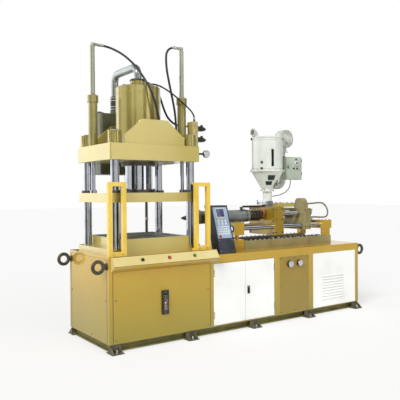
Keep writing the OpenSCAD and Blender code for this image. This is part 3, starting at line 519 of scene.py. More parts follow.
# Camera at the photograph's place
camera = {"spot": (-4.8895, -6.2393, 1.8228), "yaw": 35.215, "pitch": -0.7405, "roll": -0.398, "lens": 49.65}
yaw = math.radians(camera["yaw"])
pitch = math.radians(camera["pitch"])
roll = math.radians(camera["roll"])
ahead = Vector((math.sin(yaw) * math.cos(pitch), math.cos(yaw) * math.cos(pitch), math.sin(pitch)))
level = Vector((math.cos(yaw), -math.sin(yaw), 0.0))
upward = level.cross(ahead)
side = level * math.cos(roll) + upward * math.sin(roll)
top = upward * math.cos(roll) - level * math.sin(roll)
lensData = bpy.data.cameras.new("photo_camera")
lensData.lens = camera["lens"]
lensData.sensor_width = 36.0
lensData.clip_end = 200.0
cameraObject = bpy.data.objects.new("photo_camera", lensData)
scene.collection.objects.link(cameraObject)
turnMatrix = Matrix((side, top, -ahead)).transposed().to_4x4()
cameraObject.matrix_world = Matrix.Translation(camera["spot"]) @ turnMatrix
scene.camera = cameraObject
scene.view_settings.view_transform = "Standard"

# Light: a broad key from the left, a soft fill from the front, a pale surround
lamps = {
    "key_light": {"towards": (-0.737, -0.332, 0.59), "power": 2.4, "spread": 22},
    "fill_light": {"towards": (0.30, -0.86, 0.42), "power": 0.8, "spread": 60},
}
for name, lamp in lamps.items():
    data = bpy.data.lights.new(name, "SUN")
    data.energy = lamp["power"]
    data.angle = math.radians(lamp["spread"])
    light = bpy.data.objects.new(name, data)
    light.rotation_euler = Vector(lamp["towards"]).to_track_quat("Z", "Y").to_euler()
    scene.collection.objects.link(light)


# Flat sheet of the stage, outside the part
def stageSheet(name, corners, material):
    mesh = bpy.data.meshes.new(name)
    mesh.from_pydata(corners, [], [(0, 1, 2, 3)])
    mesh.materials.append(material)
    sheet = bpy.data.objects.new(name, mesh)
    scene.collection.objects.link(sheet)
    return sheet


# Cards round the machine that only reflections see: upright strips at a bearing, and one overhead
cardRing = {"reach": 12, "low": 0.02, "high": 9}
cards = {
    "left_card": {"bearing": 128, "half": 20, "bright": 2.2},
    "front_card": {"bearing": -48, "half": 15, "bright": 0.10},
    "narrow_card": {"bearing": -92, "half": 9, "bright": 0.04},
    "side_card": {"bearing": -166, "half": 13, "bright": 0.04},
    "thin_card": {"bearing": -139, "half": 5, "bright": 0.04},
    "right_card": {"bearing": -8, "half": 12, "bright": 0.08},
    "back_card": {"bearing": 75, "half": 14, "bright": 0.08},
    "top_card": {"bright": 0.30},
}
for name, card in cards.items():
    corners = [(-6, -5, 9.5), (6, -5, 9.5), (6, 5, 9.5), (-6, 5, 9.5)]
    if "bearing" in card:
        ends = [math.radians(card["bearing"] + turn * card["half"]) for turn in (-1, 1, 1, -1)]
        heights = (cardRing["low"], cardRing["low"], cardRing["high"], cardRing["high"])
        corners = [(cardRing["reach"] * math.cos(b), cardRing["reach"] * math.sin(b), z)
                   for b, z in zip(ends, heights)]
    cardMaterial = bpy.data.materials.new("Studio " + name)
    tree = emptyTree(cardMaterial)
    shine = addNode(tree, "Emission", {"Color": (0.93, 0.96, 1.0, 1.0), "Strength": card["bright"]})
    addNode(tree, "OutputMaterial", {"Surface": shine.outputs[0]})
    sheet = stageSheet(name, corners, cardMaterial)
    sheet.visible_camera = False
    sheet.visible_diffuse = False
    sheet.visible_transmission = False
    sheet.visible_shadow = False

surround = bpy.data.worlds.new("pale_surround")
tree = emptyTree(surround)
rays = addNode(tree, "LightPath")
seen = addNode(tree, "Math", {0: rays.outputs["Is Camera Ray"], 1: rays.outputs["Is Glossy Ray"]},
               operation="MAXIMUM")
seen = addNode(tree, "Math", {0: seen.outputs[0], 1: rays.outputs["Is Transmission Ray"]},
               operation="MAXIMUM")
soft = addNode(tree, "Background", {"Color": (1, 1, 1, 1), "Strength": 0.38})
white = addNode(tree, "Background", {"Color": (1, 1, 1, 1), "Strength": 1.0})
both = addNode(tree, "MixShader", {0: seen.outputs[0], 1: soft.outputs[0], 2: white.outputs[0]})
addNode(tree, "OutputWorld", {"Surface": both.outputs[0]})
scene.world = surround

# Floor: pale, and partly lit by itself so that it stays white and keeps a faint shadow
floorLook = {"half": 60, "glowShare": 0.62}
floorMaterial = bpy.data.materials.new("Pale studio floor")
tree = emptyTree(floorMaterial)
rays = addNode(tree, "LightPath")
matt = addNode(tree, "BsdfDiffuse", {"Color": (0.93, 0.93, 0.92, 1)})
glow = addNode(tree, "Emission", {"Color": (1, 1, 1, 1), "Strength": 1.0})
share = addNode(tree, "Math", {0: rays.outputs["Is Camera Ray"], 1: floorLook["glowShare"]},
                operation="MULTIPLY")
both = addNode(tree, "MixShader", {0: share.outputs[0], 1: matt.outputs[0], 2: glow.outputs[0]})
addNode(tree, "OutputMaterial", {"Surface": both.outputs[0]})
half = floorLook["half"]
stageSheet("floor", [(-half, -half, 0), (half, -half, 0), (half, half, 0), (-half, half, 0)], floorMaterial)
print("stage: camera, light and floor made")

# Hoses and the dryer cable, along the same points as their solids in millimetres, with crimped ends
hoses = {
    "hose_lift_left": {"body": "frame", "diameter": 0.028, "stiff": "stiff", "points": (
        (-1876, 260, 3714), (-1806, 260, 3714), (-1732, 235, 3697), (-1660, 174, 3653), (-1603, 98, 3593),
        (-1556, 12, 3514), (-1521, -82, 3422), (-1494, -170, 3320), (-1468, -248, 3213),
        (-1434, -298, 3101), (-1395, -317, 2985), (-1356, -317, 2868), (-1322, -309, 2745),
        (-1298, -299, 2615), (-1290, -295, 2510), (-1290, -295, 2470))},
    "hose_lift_right": {"body": "frame", "diameter": 0.028, "stiff": "stiff", "points": (
        (-962, -160, 3714), (-992, -160, 3714), (-1040, -160, 3704), (-1081, -160, 3677),
        (-1108, -160, 3636), (-1118, -160, 3588), (-1119, -161, 3530), (-1116, -163, 3460),
        (-1105, -165, 3375), (-1085, -167, 3275), (-1057, -168, 3150), (-1026, -168, 3020),
        (-998, -166, 2890), (-979, -162, 2750), (-972, -160, 2610), (-972, -160, 2470))},
    "valve_hose_thin": {"body": "frame", "diameter": 0.020, "stiff": "stiff", "points": (
        (-1375, -150, 3210), (-1325, -150, 3210), (-1250, -160, 3202), (-1172, -186, 3168),
        (-1096, -218, 3116), (-1020, -246, 3058), (-946, -262, 2999), (-878, -266, 2950),
        (-818, -260, 2908), (-772, -250, 2869), (-749, -246, 2830), (-743, -245, 2803), (-743, -245, 2790))},
    "valve_hose": {"body": "frame", "diameter": 0.028, "stiff": "stiff", "points": (
        (-1290, 130, 3215), (-1225, 130, 3215), (-1152, 125, 3205), (-1092, 110, 3158), (-1056, 92, 3084),
        (-1034, 76, 2998), (-1006, 68, 2918), (-966, 65, 2845), (-912, 62, 2790), (-852, 52, 2752),
        (-800, 26, 2730), (-763, -18, 2721), (-743, -70, 2720), (-743, -119, 2720))},
    "motor_hose": {"body": "injector", "diameter": 0.025, "stiff": "stiff", "look": "braid_hose", "points": (
        (1595, 10, 1640), (1670, 10, 1640), (1750, 11, 1642), (1830, 13, 1647), (1924, 13, 1649),
        (1975, 11, 1643), (2019, 3, 1619), (2048, -11, 1580), (2059, -27, 1532), (2048, -44, 1485),
        (2019, -58, 1446), (1975, -66, 1422), (1924, -68, 1416), (1830, -68, 1418), (1750, -66, 1423),
        (1670, -65, 1425), (1595, -65, 1425))},
    "dryer_cable": {"body": "carriage", "diameter": 0.012, "stiff": "medium", "points": (
        (1200, -45, 2017), (1200, -45, 1970), (1190, -43, 1915), (1155, -38, 1862), (1098, -30, 1820),
        (1035, -10, 1790), (970, 25, 1772), (920, 50, 1764), (878, 50, 1764))},
}
# Crimp outline in shares of the hose's radius and of the crimp's reach
crimp = {"reach": 2.6,
         "outline": ((1.05, 1.0), (1.28, 0.96), (1.28, 0.45), (1.12, 0.42), (1.38, 0.36), (1.38, 0))}
crimps = {"frame": [], "injector": [], "carriage": []}
for name, hose in hoses.items():
    path = smoothPath(np.array(hose["points"]) / 1000.0, 3)
    diameter = hose["diameter"]
    look = hose.get("look", "black_rubber")
    piece = dress(name + "_dressed", [tube(path, diameter / 2, 14)], look, hose["body"])
    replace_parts(piece, name)
    outline = np.array(crimp["outline"]) * (diameter / 2, crimp["reach"] * diameter)
    for spot, inner in ((path[0], path[1]), (path[-1], path[-2])):
        crimps[hose["body"]].append(turned(outline, spot, inner - spot, 16))
for body, surfaces in crimps.items():
    dress("hose_crimps_" + body, surfaces, "zinc", body)
print("stage: hoses made")

# Screws on the sheet panels
panelScrews = {"radius": 0.0085, "height": 0.005, "low": 0.135, "middle": 0.51, "high": 0.888,
               "pressX": (-2.07, -0.77), "pressZ": (0.14, 0.60, 1.03), "endY": (-0.48, 0.48),
               "side": ((-0.49, 0.60), (0.49, 0.60), (-0.1, 0.14), (-0.1, 1.03))}
bays = {"doors": (-0.66, 0.36), "gauges": (0.49, 1.037), "louvre": (1.165, 2.063)}
ends = (panelScrews["low"], panelScrews["high"])


# Pan heads at many spots
def panelHeads(spots, axis):
    return [panHead(spot, axis, panelScrews["radius"], panelScrews["height"]) for spot in spots]


# Screws round the front of a bay
def bayHeads(left, right):
    spots = gridSpots(spread(left + 0.01, right - 0.01, 3), (place["front"],), ends)
    spots += gridSpots((left + 0.01, right - 0.01), (place["front"],), (panelScrews["middle"],))
    return panelHeads(spots, toFront)


xs = panelScrews["pressX"]
zs = panelScrews["pressZ"]
heads = panelHeads(gridSpots(spread(*xs, 3), (place["back"],), zs), toBack)
heads += panelHeads(gridSpots(xs, (place["front"],), zs[:2]), toFront)
heads += panelHeads([(place["left"], y, z) for y, z in panelScrews["side"]], toLeft)
heads += bayHeads(*bays["gauges"])
for left, right in bays.values():
    heads += panelHeads(gridSpots(spread(left + 0.02, right - 0.02, 4), (place["back"],), ends), toBack)
endSpots = gridSpots((place["right"],), spread(*panelScrews["endY"], 4), (*ends, panelScrews["middle"]))
heads += panelHeads(endSpots, toRight)
dress("panel_screws", heads, "dark_steel")
dress("louvre_screws", bayHeads(*bays["louvre"]), "white_paint")

# Bolts on the press: cylinder head, boss, tank lid and moving platen
pressBolts = {"headCircle": 0.245, "headSize": 0.016, "bossCircle": 0.078, "bossTop": 3.285, "lidTop": 2.901,
              "lidSize": 0.011, "ramCircle": 0.203, "ramTop": 1.87, "ramSize": 0.012, "flangeCircle": 0.0645,
              "flangeTop": 1.86, "flangeSize": 0.007, "tieX": 0.535, "tieY": 0.395,
              "lidX": (-1.68, -1.158), "lidY": (0.555, 0.863), "lidEndX": (-1.693, -1.145),
              "lidEndY": (0.60, 0.82)}
pressX = place["pressX"]
pressY = place["pressY"]
bolts = socketHeads(circleSpots((pressX, pressY, place["headTop"]), pressBolts["headCircle"], 12, 15), up,
                    pressBolts["headSize"])
lidTop = (pressBolts["lidTop"],)
lidSpots = gridSpots(spread(*pressBolts["lidX"], 4), pressBolts["lidY"], lidTop)
lidSpots += gridSpots(pressBolts["lidEndX"], spread(*pressBolts["lidEndY"], 3), lidTop)
lidSpots += list(circleSpots((pressX, pressY, pressBolts["bossTop"]), pressBolts["bossCircle"], 6))
bolts += socketHeads(lidSpots, up, pressBolts["lidSize"])
dress("press_bolts", bolts, "dark_steel")
bolts = socketHeads(circleSpots((pressX, pressY, pressBolts["ramTop"]), pressBolts["ramCircle"], 12, 15), up,
                    pressBolts["ramSize"])
for i, j, z in gridSpots((-1, 1), (-1, 1), (pressBolts["flangeTop"],)):
    flange = (pressX + i * pressBolts["tieX"], pressY + j * pressBolts["tieY"], z)
    bolts += socketHeads(circleSpots(flange, pressBolts["flangeCircle"], 4, 45), up, pressBolts["flangeSize"])
dress("clamp_bolts", bolts, "dark_steel", body="clamp")

# Anchor bolts through the feet
anchors = {"across": 0.034, "height": 0.022, "stud": 0.010, "pitch": 1.04, "out": 0.608, "low": 0.012}
studs = []
for i, s, z in gridSpots(range(-2, 3), (-1, 1), (anchors["low"],)):
    spot = (i * anchors["pitch"], s * anchors["out"], z)
    studs += hexHead(spot, up, anchors["across"], anchors["height"])
    studs.append(turned([(anchors["stud"], 0.0), (anchors["stud"], 0.034), (anchors["stud"] - 0.002, 0.037)],
                        spot, up, 14))
dress("anchor_nuts", studs, "zinc")

# Bolts in the bed: rail tops, brackets and the rear crosshead
bedBolts = {"size": 0.011, "railSize": 0.012, "railCount": 19, "railX": (0.13, 1.68),
            "railY": (-0.255, 0.355),
            "bracketX": (-0.051, 0.069), "bracketY": (-0.235, -0.145, 0.245, 0.335), "bracketTop": 1.405,
            "rearX": (1.72, 1.88), "rearY": (-0.225, -0.155, 0.255, 0.325), "rearTop": 1.38}
railX = spread(*bedBolts["railX"], bedBolts["railCount"])
railSpots = gridSpots(railX, bedBolts["railY"], (place["railTop"],))
bracketSpots = gridSpots(bedBolts["bracketX"], bedBolts["bracketY"], (bedBolts["bracketTop"],))
bracketSpots += gridSpots(bedBolts["rearX"], bedBolts["rearY"], (bedBolts["rearTop"],))
bolts = socketHeads(railSpots, up, bedBolts["railSize"]) + socketHeads(bracketSpots, up, bedBolts["size"])
dress("bed_bolts", bolts, "zinc")

# Bolts on the injection plate, the block behind it and the thrust plate
plateBolts = {"faceSize": 0.012, "size": 0.010, "motorSize": 0.008, "motorCircle": 0.094, "motorX": 1.505,
              "face": ((0.692,), (-0.215, 0.315), (1.225, 1.40, 1.575)),
              "top": (spread(0.90, 1.20, 4), (-0.08, 0.18), (1.66,)),
              "side": ((0.72, 0.84), (-0.24,), (1.23, 1.42, 1.57)),
              "thrust": ((1.325, 1.415), (-0.24,), (1.29, 1.55))}
bolts = socketHeads(gridSpots(*plateBolts["face"]), toLeft, plateBolts["faceSize"])
bolts += socketHeads(gridSpots(*plateBolts["top"]), up, plateBolts["size"])
bolts += socketHeads(gridSpots(*plateBolts["side"]), toFront, plateBolts["size"])
dress("carriage_bolts", bolts, "dark_steel", body="carriage")
bolts = socketHeads(gridSpots(*plateBolts["thrust"]), toFront, plateBolts["size"])
motor = (plateBolts["motorX"], pressY, place["axis"])
motorSpots = circleSpots(motor, plateBolts["motorCircle"], 6, 30, (1, 2))
bolts += socketHeads(motorSpots, toRight, plateBolts["motorSize"])
dress("injector_bolts", bolts, "dark_steel", body="injector")
print("stage: fasteners made")

# Pressure gauges: bezel, dial, marks, needle and lens, each with its reading as a share of the sweep
gaugeLook = {"radius": 0.048, "marks": 27, "start": 225, "sweep": 270, "needle": 0.033}
gauges = (((0.6705, -0.598, 0.804), 0.35), ((0.8565, -0.598, 0.804), 0.12), ((-0.645, -0.385, 2.331), 0.55))


# Directions of a hand on a dial that faces front: along it, across it and out of the dial
def handAxes(share):
    a = math.radians(gaugeLook["start"] - gaugeLook["sweep"] * share)
    return (math.cos(a), 0, math.sin(a)), (-math.sin(a), 0, math.cos(a)), toFront


r = gaugeLook["radius"]
bezels = []
dials = []
marks = []
lenses = []
for spot, reading in gauges:
    bezels.append(ring([(r, 0.0), (r * 1.01, 0.004), (r * 0.96, 0.0075), (r * 0.88, 0.007), (r * 0.86, 0.0)],
                       spot, toFront))
    dials.append(turned([(r * 0.87, 0.0004), (r * 0.87, 0.0012), (0.002, 0.0012)], spot, toFront, 32))
    lenses.append(turned([(r * 0.865, 0.0045), (r * 0.6, 0.0058), (r * 0.3, 0.0066), (0.001, 0.0068)], spot,
                         toFront, 32))
    for k in range(gaugeLook["marks"]):
        inner = r * (0.62 if k % 5 == 0 else 0.70)
        marks.append(framedSlab(spot, handAxes(k / (gaugeLook["marks"] - 1)), (inner, -0.0007, 0.0010),
                                (r * 0.78, 0.0007, 0.0016), 0.0002))
    marks.append(framedSlab(spot, handAxes(reading), (-0.010, -0.0011, 0.0022),
                            (gaugeLook["needle"], 0.0011, 0.0030), 0.0003))
    marks.append(turned(mm((4.5, 1.2), (4.5, 3.4), (3, 4.2), (0.5, 4.2)), spot, toFront, 16))
dress("gauge_bezels", bezels, "zinc")
dress("gauge_dials", dials, "dial_white")
dress("gauge_marks", marks, "black_plastic")
dress("gauge_lenses", lenses, "clear")

# Push buttons on the sloping console: a dark collar and a coloured cap
buttons = {"collar": 0.022, "cap": 0.0165, "rise": 0.021, "y": -0.633, "z": 1.05,
           "row": {"black_plastic": -1.752, "button_plastic": -1.385, "green_plastic": -1.02}}
outOfConsole = (0.0, -0.8192, 0.5736)
collar = buttons["collar"]
cap = buttons["cap"]
collars = []
for colour, x in buttons["row"].items():
    spot = (x, buttons["y"], buttons["z"])
    collars.append(ring([(collar, 0.0), (collar, 0.007), (collar - 0.003, 0.011), (cap + 0.0006, 0.011),
                         (cap + 0.0006, 0.0)], spot, outOfConsole))
    dome = [(cap, 0.0), (cap, 0.016), (cap * 0.9, 0.0195), (cap * 0.5, 0.0205), (0.001, buttons["rise"])]
    dress("button_cap_" + colour.split("_")[0], [turned(dome, spot, outOfConsole, 28)], colour)
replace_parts(dress("button_collars", collars, "dark_steel"), "push_buttons")

# Oil level gauge: scale plate, oil column, float, thermometer, clear cover and two bolts.
# Each row: piece, finish, slot, two corners from the gauge's middle line, edge and corner radius
oilGauge = {"x": -1.415, "front": -0.590, "bolts": (0.388, 0.631)}
oilSpot = np.array((oilGauge["x"], oilGauge["front"], 0.0))
oilParts = (
    ("oil_scale", "plate_dark", "black_plastic", (-0.028, -0.0016, 0.42), (0.028, 0.001, 0.60), 0.0006,
     0.003),
    ("oil_column", "amber_oil", "gold_paint", (-0.016, -0.0046, 0.425), (0.001, -0.001, 0.500), 0.0012, None),
    ("oil_float", "dial_white", "white_paint", (-0.016, -0.0050, 0.500), (0.001, -0.001, 0.516), 0.0012,
     None),
    ("oil_thermometer", "button_plastic", None, (0.006, -0.0050, 0.500), (0.022, -0.001, 0.545), 0.001, None),
    ("oil_cover", "clear", "white_paint", (-0.033, -0.0095, 0.412), (0.033, -0.0055, 0.608), 0.0018, 0.006),
)
for name, look, slot, low, high, radius, corner in oilParts:
    dress(name, [roundSlab(oilSpot + low, oilSpot + high, radius, corner)], look)
bolts = [hexHead(oilSpot + (0, 0, z), toFront, 0.024, 0.010) for z in oilGauge["bolts"]]
dress("oil_bolts", bolts[0] + bolts[1], "dark_steel")

# Operator panel: case rim, membrane, display, keys and stop button on the leaning face
panel = {"corner": (-0.507, -0.478, 1.02), "width": 0.27, "length": 0.661, "faceLow": 0.205,
         "faceHigh": 0.637}
panelAxes = np.array(((panel["length"], 0, 0), (0, 0.2, 0.63), (0, -0.63, 0.2))) / panel["length"]


# Slab on the leaning face, by amounts across, along and out of it
def onPanel(low, high, radius, corner):
    return framedSlab(panel["corner"], panelAxes, low, high, radius, corner)


def panelSpot(across, along, out):
    return np.array(panel["corner"]) + np.array((across, along, out)) @ panelAxes


w = panel["width"]
long = panel["length"]
low = panel["faceLow"]
rim = [onPanel((0.0, 0.0, -0.004), (w, 0.018, 0.008), 0.003, 0.006),
       onPanel((0.0, long - 0.020, -0.004), (w, long, 0.008), 0.003, 0.006),
       onPanel((0.0, 0.016, -0.004), (0.014, long - 0.018, 0.008), 0.003, 0.005),
       onPanel((w - 0.014, 0.016, -0.004), (w, long - 0.018, 0.008), 0.003, 0.005),
       onPanel((0.012, 0.016, -0.002), (w - 0.012, low - 0.004, 0.004), 0.0015, 0.004)]
dress("panel_rim", rim, "navy_paint")
face = onPanel((0.016, low, -0.002), (w - 0.016, panel["faceHigh"], 0.0035), 0.001, 0.006)
dress("panel_membrane", [face], "panel_blue")
screen = onPanel((0.068, 0.500, 0.003), (0.196, 0.612, 0.0052), 0.0008, 0.004)
dress("panel_display", [screen], "screen_blue")
screenRim = onPanel((0.060, 0.492, 0.0028), (0.204, 0.620, 0.0042), 0.0006, 0.006)
dress("panel_display_rim", [screenRim], "key_white")
keys = []
for u, v, out in gridSpots(spread(0.062, 0.182, 3), (0.430, 0.390), (0.003,)):
    keys.append(onPanel((u, v, out), (u + 0.026, v + 0.030, 0.0062), 0.0012, 0.004))
for u, v, out in gridSpots(spread(0.040, 0.2025, 6), spread(0.352, 0.256, 4), (0.003,)):
    keys.append(onPanel((u, v, out), (u + 0.024, v + 0.021, 0.0058), 0.001, 0.003))
dress("panel_keys", keys, "key_white")
warmKeys = [onPanel((u, 0.466, 0.003), (u + 0.026, 0.486, 0.0060), 0.001, 0.003) for u in (0.062, 0.122)]
dress("panel_warm_keys", warmKeys, "yellow_paint")
stop = turned(mm((10, 0), (10, 8), (17, 10), (18.5, 14), (16, 19), (9, 21.5), (1, 22)),
              panelSpot(0.052, 0.228, 0.0035), panelAxes[2], 28)
dress("panel_stop", [stop], "button_plastic")
lock = [turned(mm((10, 0), (10, 4), (8, 6), (4, 6), (3.5, 2), (1, 2)), panelSpot(0.215, 0.228, 0.0035),
               panelAxes[2], 24)]
for u, v, out in gridSpots((0.030, 0.240), (0.032, 0.180), (0.004,)):
    lock.append(panHead(panelSpot(u, v, out), panelAxes[2], 0.0055, 0.003))
dress("panel_lock", lock, "zinc")
print("stage: gauges, buttons and panel made")

# Hopper: sight window, trim, plain plates, port, latches, flange bolts and outlet rim
hopper = {"x": 0.81, "y": 0.05, "drum": 0.233, "windowAngle": -112, "windowLow": 2.211, "windowHigh": 2.467,
          "coneLow": 1.867, "coneHeight": 0.27, "coneIn": 0.084, "coneOut": 0.241, "bands": (2.19, 2.615),
          "latches": ((150, 2.655), (-30, 2.655), (-152, 2.20), (-40, 2.20), (80, 2.20)),
          "outlet": (0.602, 0.14, 2.736)}
# Bare plates on the cone: bearing, half their width in degrees and two heights
conePlates = ((-113, 16.5, 2.008, 2.080), (-123, 19.0, 1.936, 1.992))
flangeBolts = ({"z": 2.163, "circle": 0.249, "count": 16, "start": 11, "across": 0.013, "height": 0.008},
               {"z": 1.853, "circle": 0.094, "count": 6, "start": 20, "across": 0.014, "height": 0.009})
hopperAxis = (hopper["x"], hopper["y"])
r = hopper["drum"]
a = hopper["windowAngle"]
low = hopper["windowLow"]
high = hopper["windowHigh"]


# Raised part of the drum's wall between two heights and two angles
def drumPatch(z0, z1, proud, bevel, start, end, steps):
    outline = [(r - 0.002, z0), (r + proud, z0 + bevel), (r + proud, z1 - bevel), (r - 0.002, z1)]
    return partRing(hopperAxis, outline, start, end, steps)


dress("hopper_window", [drumPatch(low, high, 0.0035, 0, a - 5, a + 5, 8)], "dark_window",
      "carriage")
trim = [drumPatch(low - 0.014, low, 0.005, 0.001, a - 8, a + 8, 10),
        drumPatch(high, high + 0.014, 0.005, 0.001, a - 8, a + 8, 10),
        drumPatch(low, high, 0.005, 0, a - 8, a - 5, 4),
        drumPatch(low, high, 0.005, 0, a + 5, a + 8, 4)]
for z in hopper["bands"]:
    trim.append(ring([(r - 0.002, z - 0.008), (r + 0.004, z - 0.006), (r + 0.005, z), (r + 0.004, z + 0.006),
                      (r - 0.002, z + 0.008)], (*hopperAxis, 0), up, 64))
dress("hopper_trim", trim, "cream_paint", body="carriage")


# Radius of the cone's outside at a height
def coneRadius(z):
    share = (z - hopper["coneLow"]) / hopper["coneHeight"]
    return hopper["coneIn"] + (hopper["coneOut"] - hopper["coneIn"]) * share


# Spot at a distance and a bearing in degrees from the hopper's axis
def hopperSpot(distance, bearing, z):
    turn = np.radians(bearing)
    return np.array((hopper["x"] + distance * np.cos(turn), hopper["y"] + distance * np.sin(turn), z))


plates = []
for angle, half, z0, z1 in conePlates:
    plates.append(partRing(hopperAxis, [(coneRadius(z0) - 0.001, z0), (coneRadius(z0) + 0.003, z0 - 0.0015),
                                        (coneRadius(z1) + 0.003, z1 - 0.0015), (coneRadius(z1) - 0.001, z1)],
                           angle - half, angle + half, 10))
dress("hopper_plates", plates, "plate_dark", "carriage")

# Oval port: height = middle + sin of the angle, bearing = middle + cos of the angle over the cone's radius
port = {"angle": -57, "z": 1.951, "halfWide": 0.040, "halfHigh": 0.062, "lean": 0.87}
t = np.linspace(0, 2 * math.pi, 36, endpoint=False)
z = port["z"] + port["halfHigh"] * np.sin(t) * port["lean"]
bearing = port["angle"] + np.degrees(port["halfWide"] * np.cos(t) / coneRadius(z))
oval = hopperSpot(coneRadius(z), bearing, z).T
fittings = [tube(oval, 0.008, 10, closed=True)]
knob = hopperSpot(coneRadius(port["z"]), port["angle"], port["z"])
outward = hopperSpot(port["lean"], port["angle"], -0.5) - (*hopperAxis, 0)
fittings.append(turned(mm((12, -2), (12, 12), (18, 14), (18, 24), (14, 27), (1, 27)), knob, outward, 20))
for angle, z in hopper["latches"]:
    latch = [(r, z - 0.040), (r + 0.018, z - 0.036), (r + 0.018, z - 0.004), (r, z)]
    fittings.append(partRing(hopperAxis, latch, angle - 4, angle + 4, 4))
probe = {"angle": -152, "z": 2.276}
probeSpot = hopperSpot(r, probe["angle"], probe["z"])
fittings.append(turned(mm((20, -3), (20, 8), (14, 10), (14, 26), (8, 28), (1, 28)), probeSpot,
                       probeSpot - (*hopperAxis, probe["z"]), 20))
for row in flangeBolts:
    for spot in circleSpots((*hopperAxis, row["z"]), row["circle"], row["count"], row["start"]):
        fittings += hexHead(spot, up, row["across"], row["height"])
dress("hopper_fittings", fittings, "dark_steel", body="carriage")
outlet = hopper["outlet"]
# Painted shade: a dark disc across the outlet's opening stands in for its shaded inside
mouthShade = turned(mm((40, 0.2), (40, 1.2), (1, 1.2)), outlet, toLeft, 32)
dress("outlet_mouth_shade", [mouthShade], "dark_steel", body="carriage")
outletRim = ring(mm((47.5, -10), (62, -9), (64, -4), (62, 3), (46, 5), (41, 4), (40, 0)), outlet, toLeft, 40)
dress("outlet_rim", [outletRim], "bright_sheet", body="carriage")
throat = roundSlab((0.7492, -0.0108, 1.6104), (0.8708, 0.1108, 1.6928), 0.003, 0.006)
dress("feed_throat", [throat], "throat_grey", "carriage")
gate = [roundSlab((0.640, 0.000, 1.640), (0.7496, 0.100, 1.700), 0.003, 0.006),
        roundSlab((0.600, 0.034, 1.676), (0.642, 0.066, 1.690), 0.002, 0.004)]
dress("feed_gate", gate, "key_white", "carriage")
gatePins = [turned(mm((7, 0), (7, 60), (5, 63)), (0.606, 0.05, 1.648), up, 14)]
gatePins += socketHeads(((0.662, 0.0, 1.670), (0.728, 0.0, 1.670)), toFront, 0.007, 0.006)
dress("feed_gate_pins", gatePins, "black_plastic", body="carriage")
print("stage: hopper dressed")

# Dryer control box: door, hinges, dial, knobs, lamp and latch
box = {"front": -0.095, "dial": (1.274, 2.276), "knobs": (1.222, 1.292), "knobHeight": 2.190,
       "hinges": (2.09, 2.29)}
y = box["front"] - 0.004
door = roundSlab((1.083, y, 2.026), (1.390, y + 0.006, 2.358), 0.0016, 0.006)
dress("dryer_door", [door], "green_grey_paint", body="carriage")
dialSpot = (box["dial"][0], y, box["dial"][1])
dial = turned(mm((28, 0), (28, 6), (24, 9), (1, 9)), dialSpot, toFront, 32)
dress("dryer_dial", [dial], "key_white", "carriage")
dark = [turned(mm((13, 9), (13, 22), (10, 24), (1, 24)), dialSpot, toFront, 24)]
for x in box["knobs"]:
    knobSpot = (x, y, box["knobHeight"])
    dark.append(turned(mm((15, 0), (15, 6), (10, 8), (10, 18), (1, 18)), knobSpot, toFront, 24))
dark.append(roundSlab((1.094, y - 0.007, 2.185), (1.108, y + 0.001, 2.235), 0.002, 0.003))
dark.append(roundSlab((1.255, y - 0.004, 2.318), (1.295, y + 0.001, 2.340), 0.0016, 0.003))
for z in box["hinges"]:
    dark.append(turned(mm((6, 0), (6, 45), (4, 47)), (1.392, y, z), up, 14))
dress("dryer_controls", dark, "black_plastic", body="carriage")

# Blower: ribbed end cover, casing rim, screws clear of the drum and the duct clamp
blower = {"x": 1.163, "z": 2.653, "radius": 0.14, "coverFront": -0.055, "front": -0.010, "screwCircle": 0.124,
          "clear": 0.262, "duct": (1.125, 0.055, 2.370)}
cover = (blower["x"], blower["coverFront"], blower["z"])
casing = (blower["x"], blower["front"], blower["z"])
ribs = mm((70, 0), (71, 10), (66, 14), (60, 12), (56, 16), (50, 14), (46, 18), (38, 16), (34, 20), (24, 18),
          (16, 22), (1, 22))
endCap = [turned(ribs, cover, toFront, 36)]
hub = blower["radius"] * 0.5
endCap.append(turned([(hub + 0.012, 0.0), (hub + 0.012, 0.006), (hub + 0.001, 0.008)], casing, toFront, 36))
dress("blower_cover", endCap, "bright_sheet", body="carriage")
screws = []
for spot in circleSpots(casing, blower["screwCircle"], 10, 0, (0, 2)):
    if math.hypot(spot[0] - hopper["x"], spot[1] - hopper["y"]) > blower["clear"]:
        screws.append(panHead(spot, toFront, 0.007, 0.005))
screws.append(bandRing(0.050, 0.0535, 0.012, 0.001, blower["duct"], up, 40))
dress("blower_screws", screws, "dark_steel", body="carriage")

# Barrel: cover bands, heater clamps, cable tray and bead sleeves
barrelLook = {"covers": (-0.46, -0.08, 0.34), "heaters": (0.442, 0.498, 0.552, 0.608), "tray": 1.602,
              "beads": (0.445, 0.495, 0.555, 0.605), "beadCount": 5, "beadPitch": 0.0105}
bands = []
for x in barrelLook["covers"]:
    bands.append(bandRing(0.0895, 0.0925, 0.012, 0.001, (x, pressY, place["axis"]), toRight))
    bands.append(roundSlab((x - 0.010, 0.042, 1.570), (x + 0.010, 0.058, 1.584), 0.002, 0.003))
for x in barrelLook["heaters"]:
    bands.append(bandRing(0.0775, 0.0805, 0.006, 0.001, (x, pressY, place["axis"]), toRight))
    bands.append(socketHead((x, -0.004, 1.405), (0, -0.6, -0.8), 0.006, 0.012))
dress("barrel_bands", bands, "heater_mica", "carriage")
z = barrelLook["tray"]
tray = [roundSlab((0.262, -0.012, z), (0.691, 0.052, z + 0.012), 0.002, 0.004),
        roundSlab((0.262, -0.012, z + 0.010), (0.691, -0.006, z + 0.030), 0.001, 0.002),
        roundSlab((0.264, -0.004, 1.552), (0.278, 0.052, z + 0.002), 0.002, 0.003)]
dress("heater_tray", tray, "black_plastic", body="carriage")
heights = [1.548 + barrelLook["beadPitch"] * k for k in range(barrelLook["beadCount"])]
bead = mm((3, 0), (5.5, 2), (6.5, 5), (5.5, 8), (3, 10))
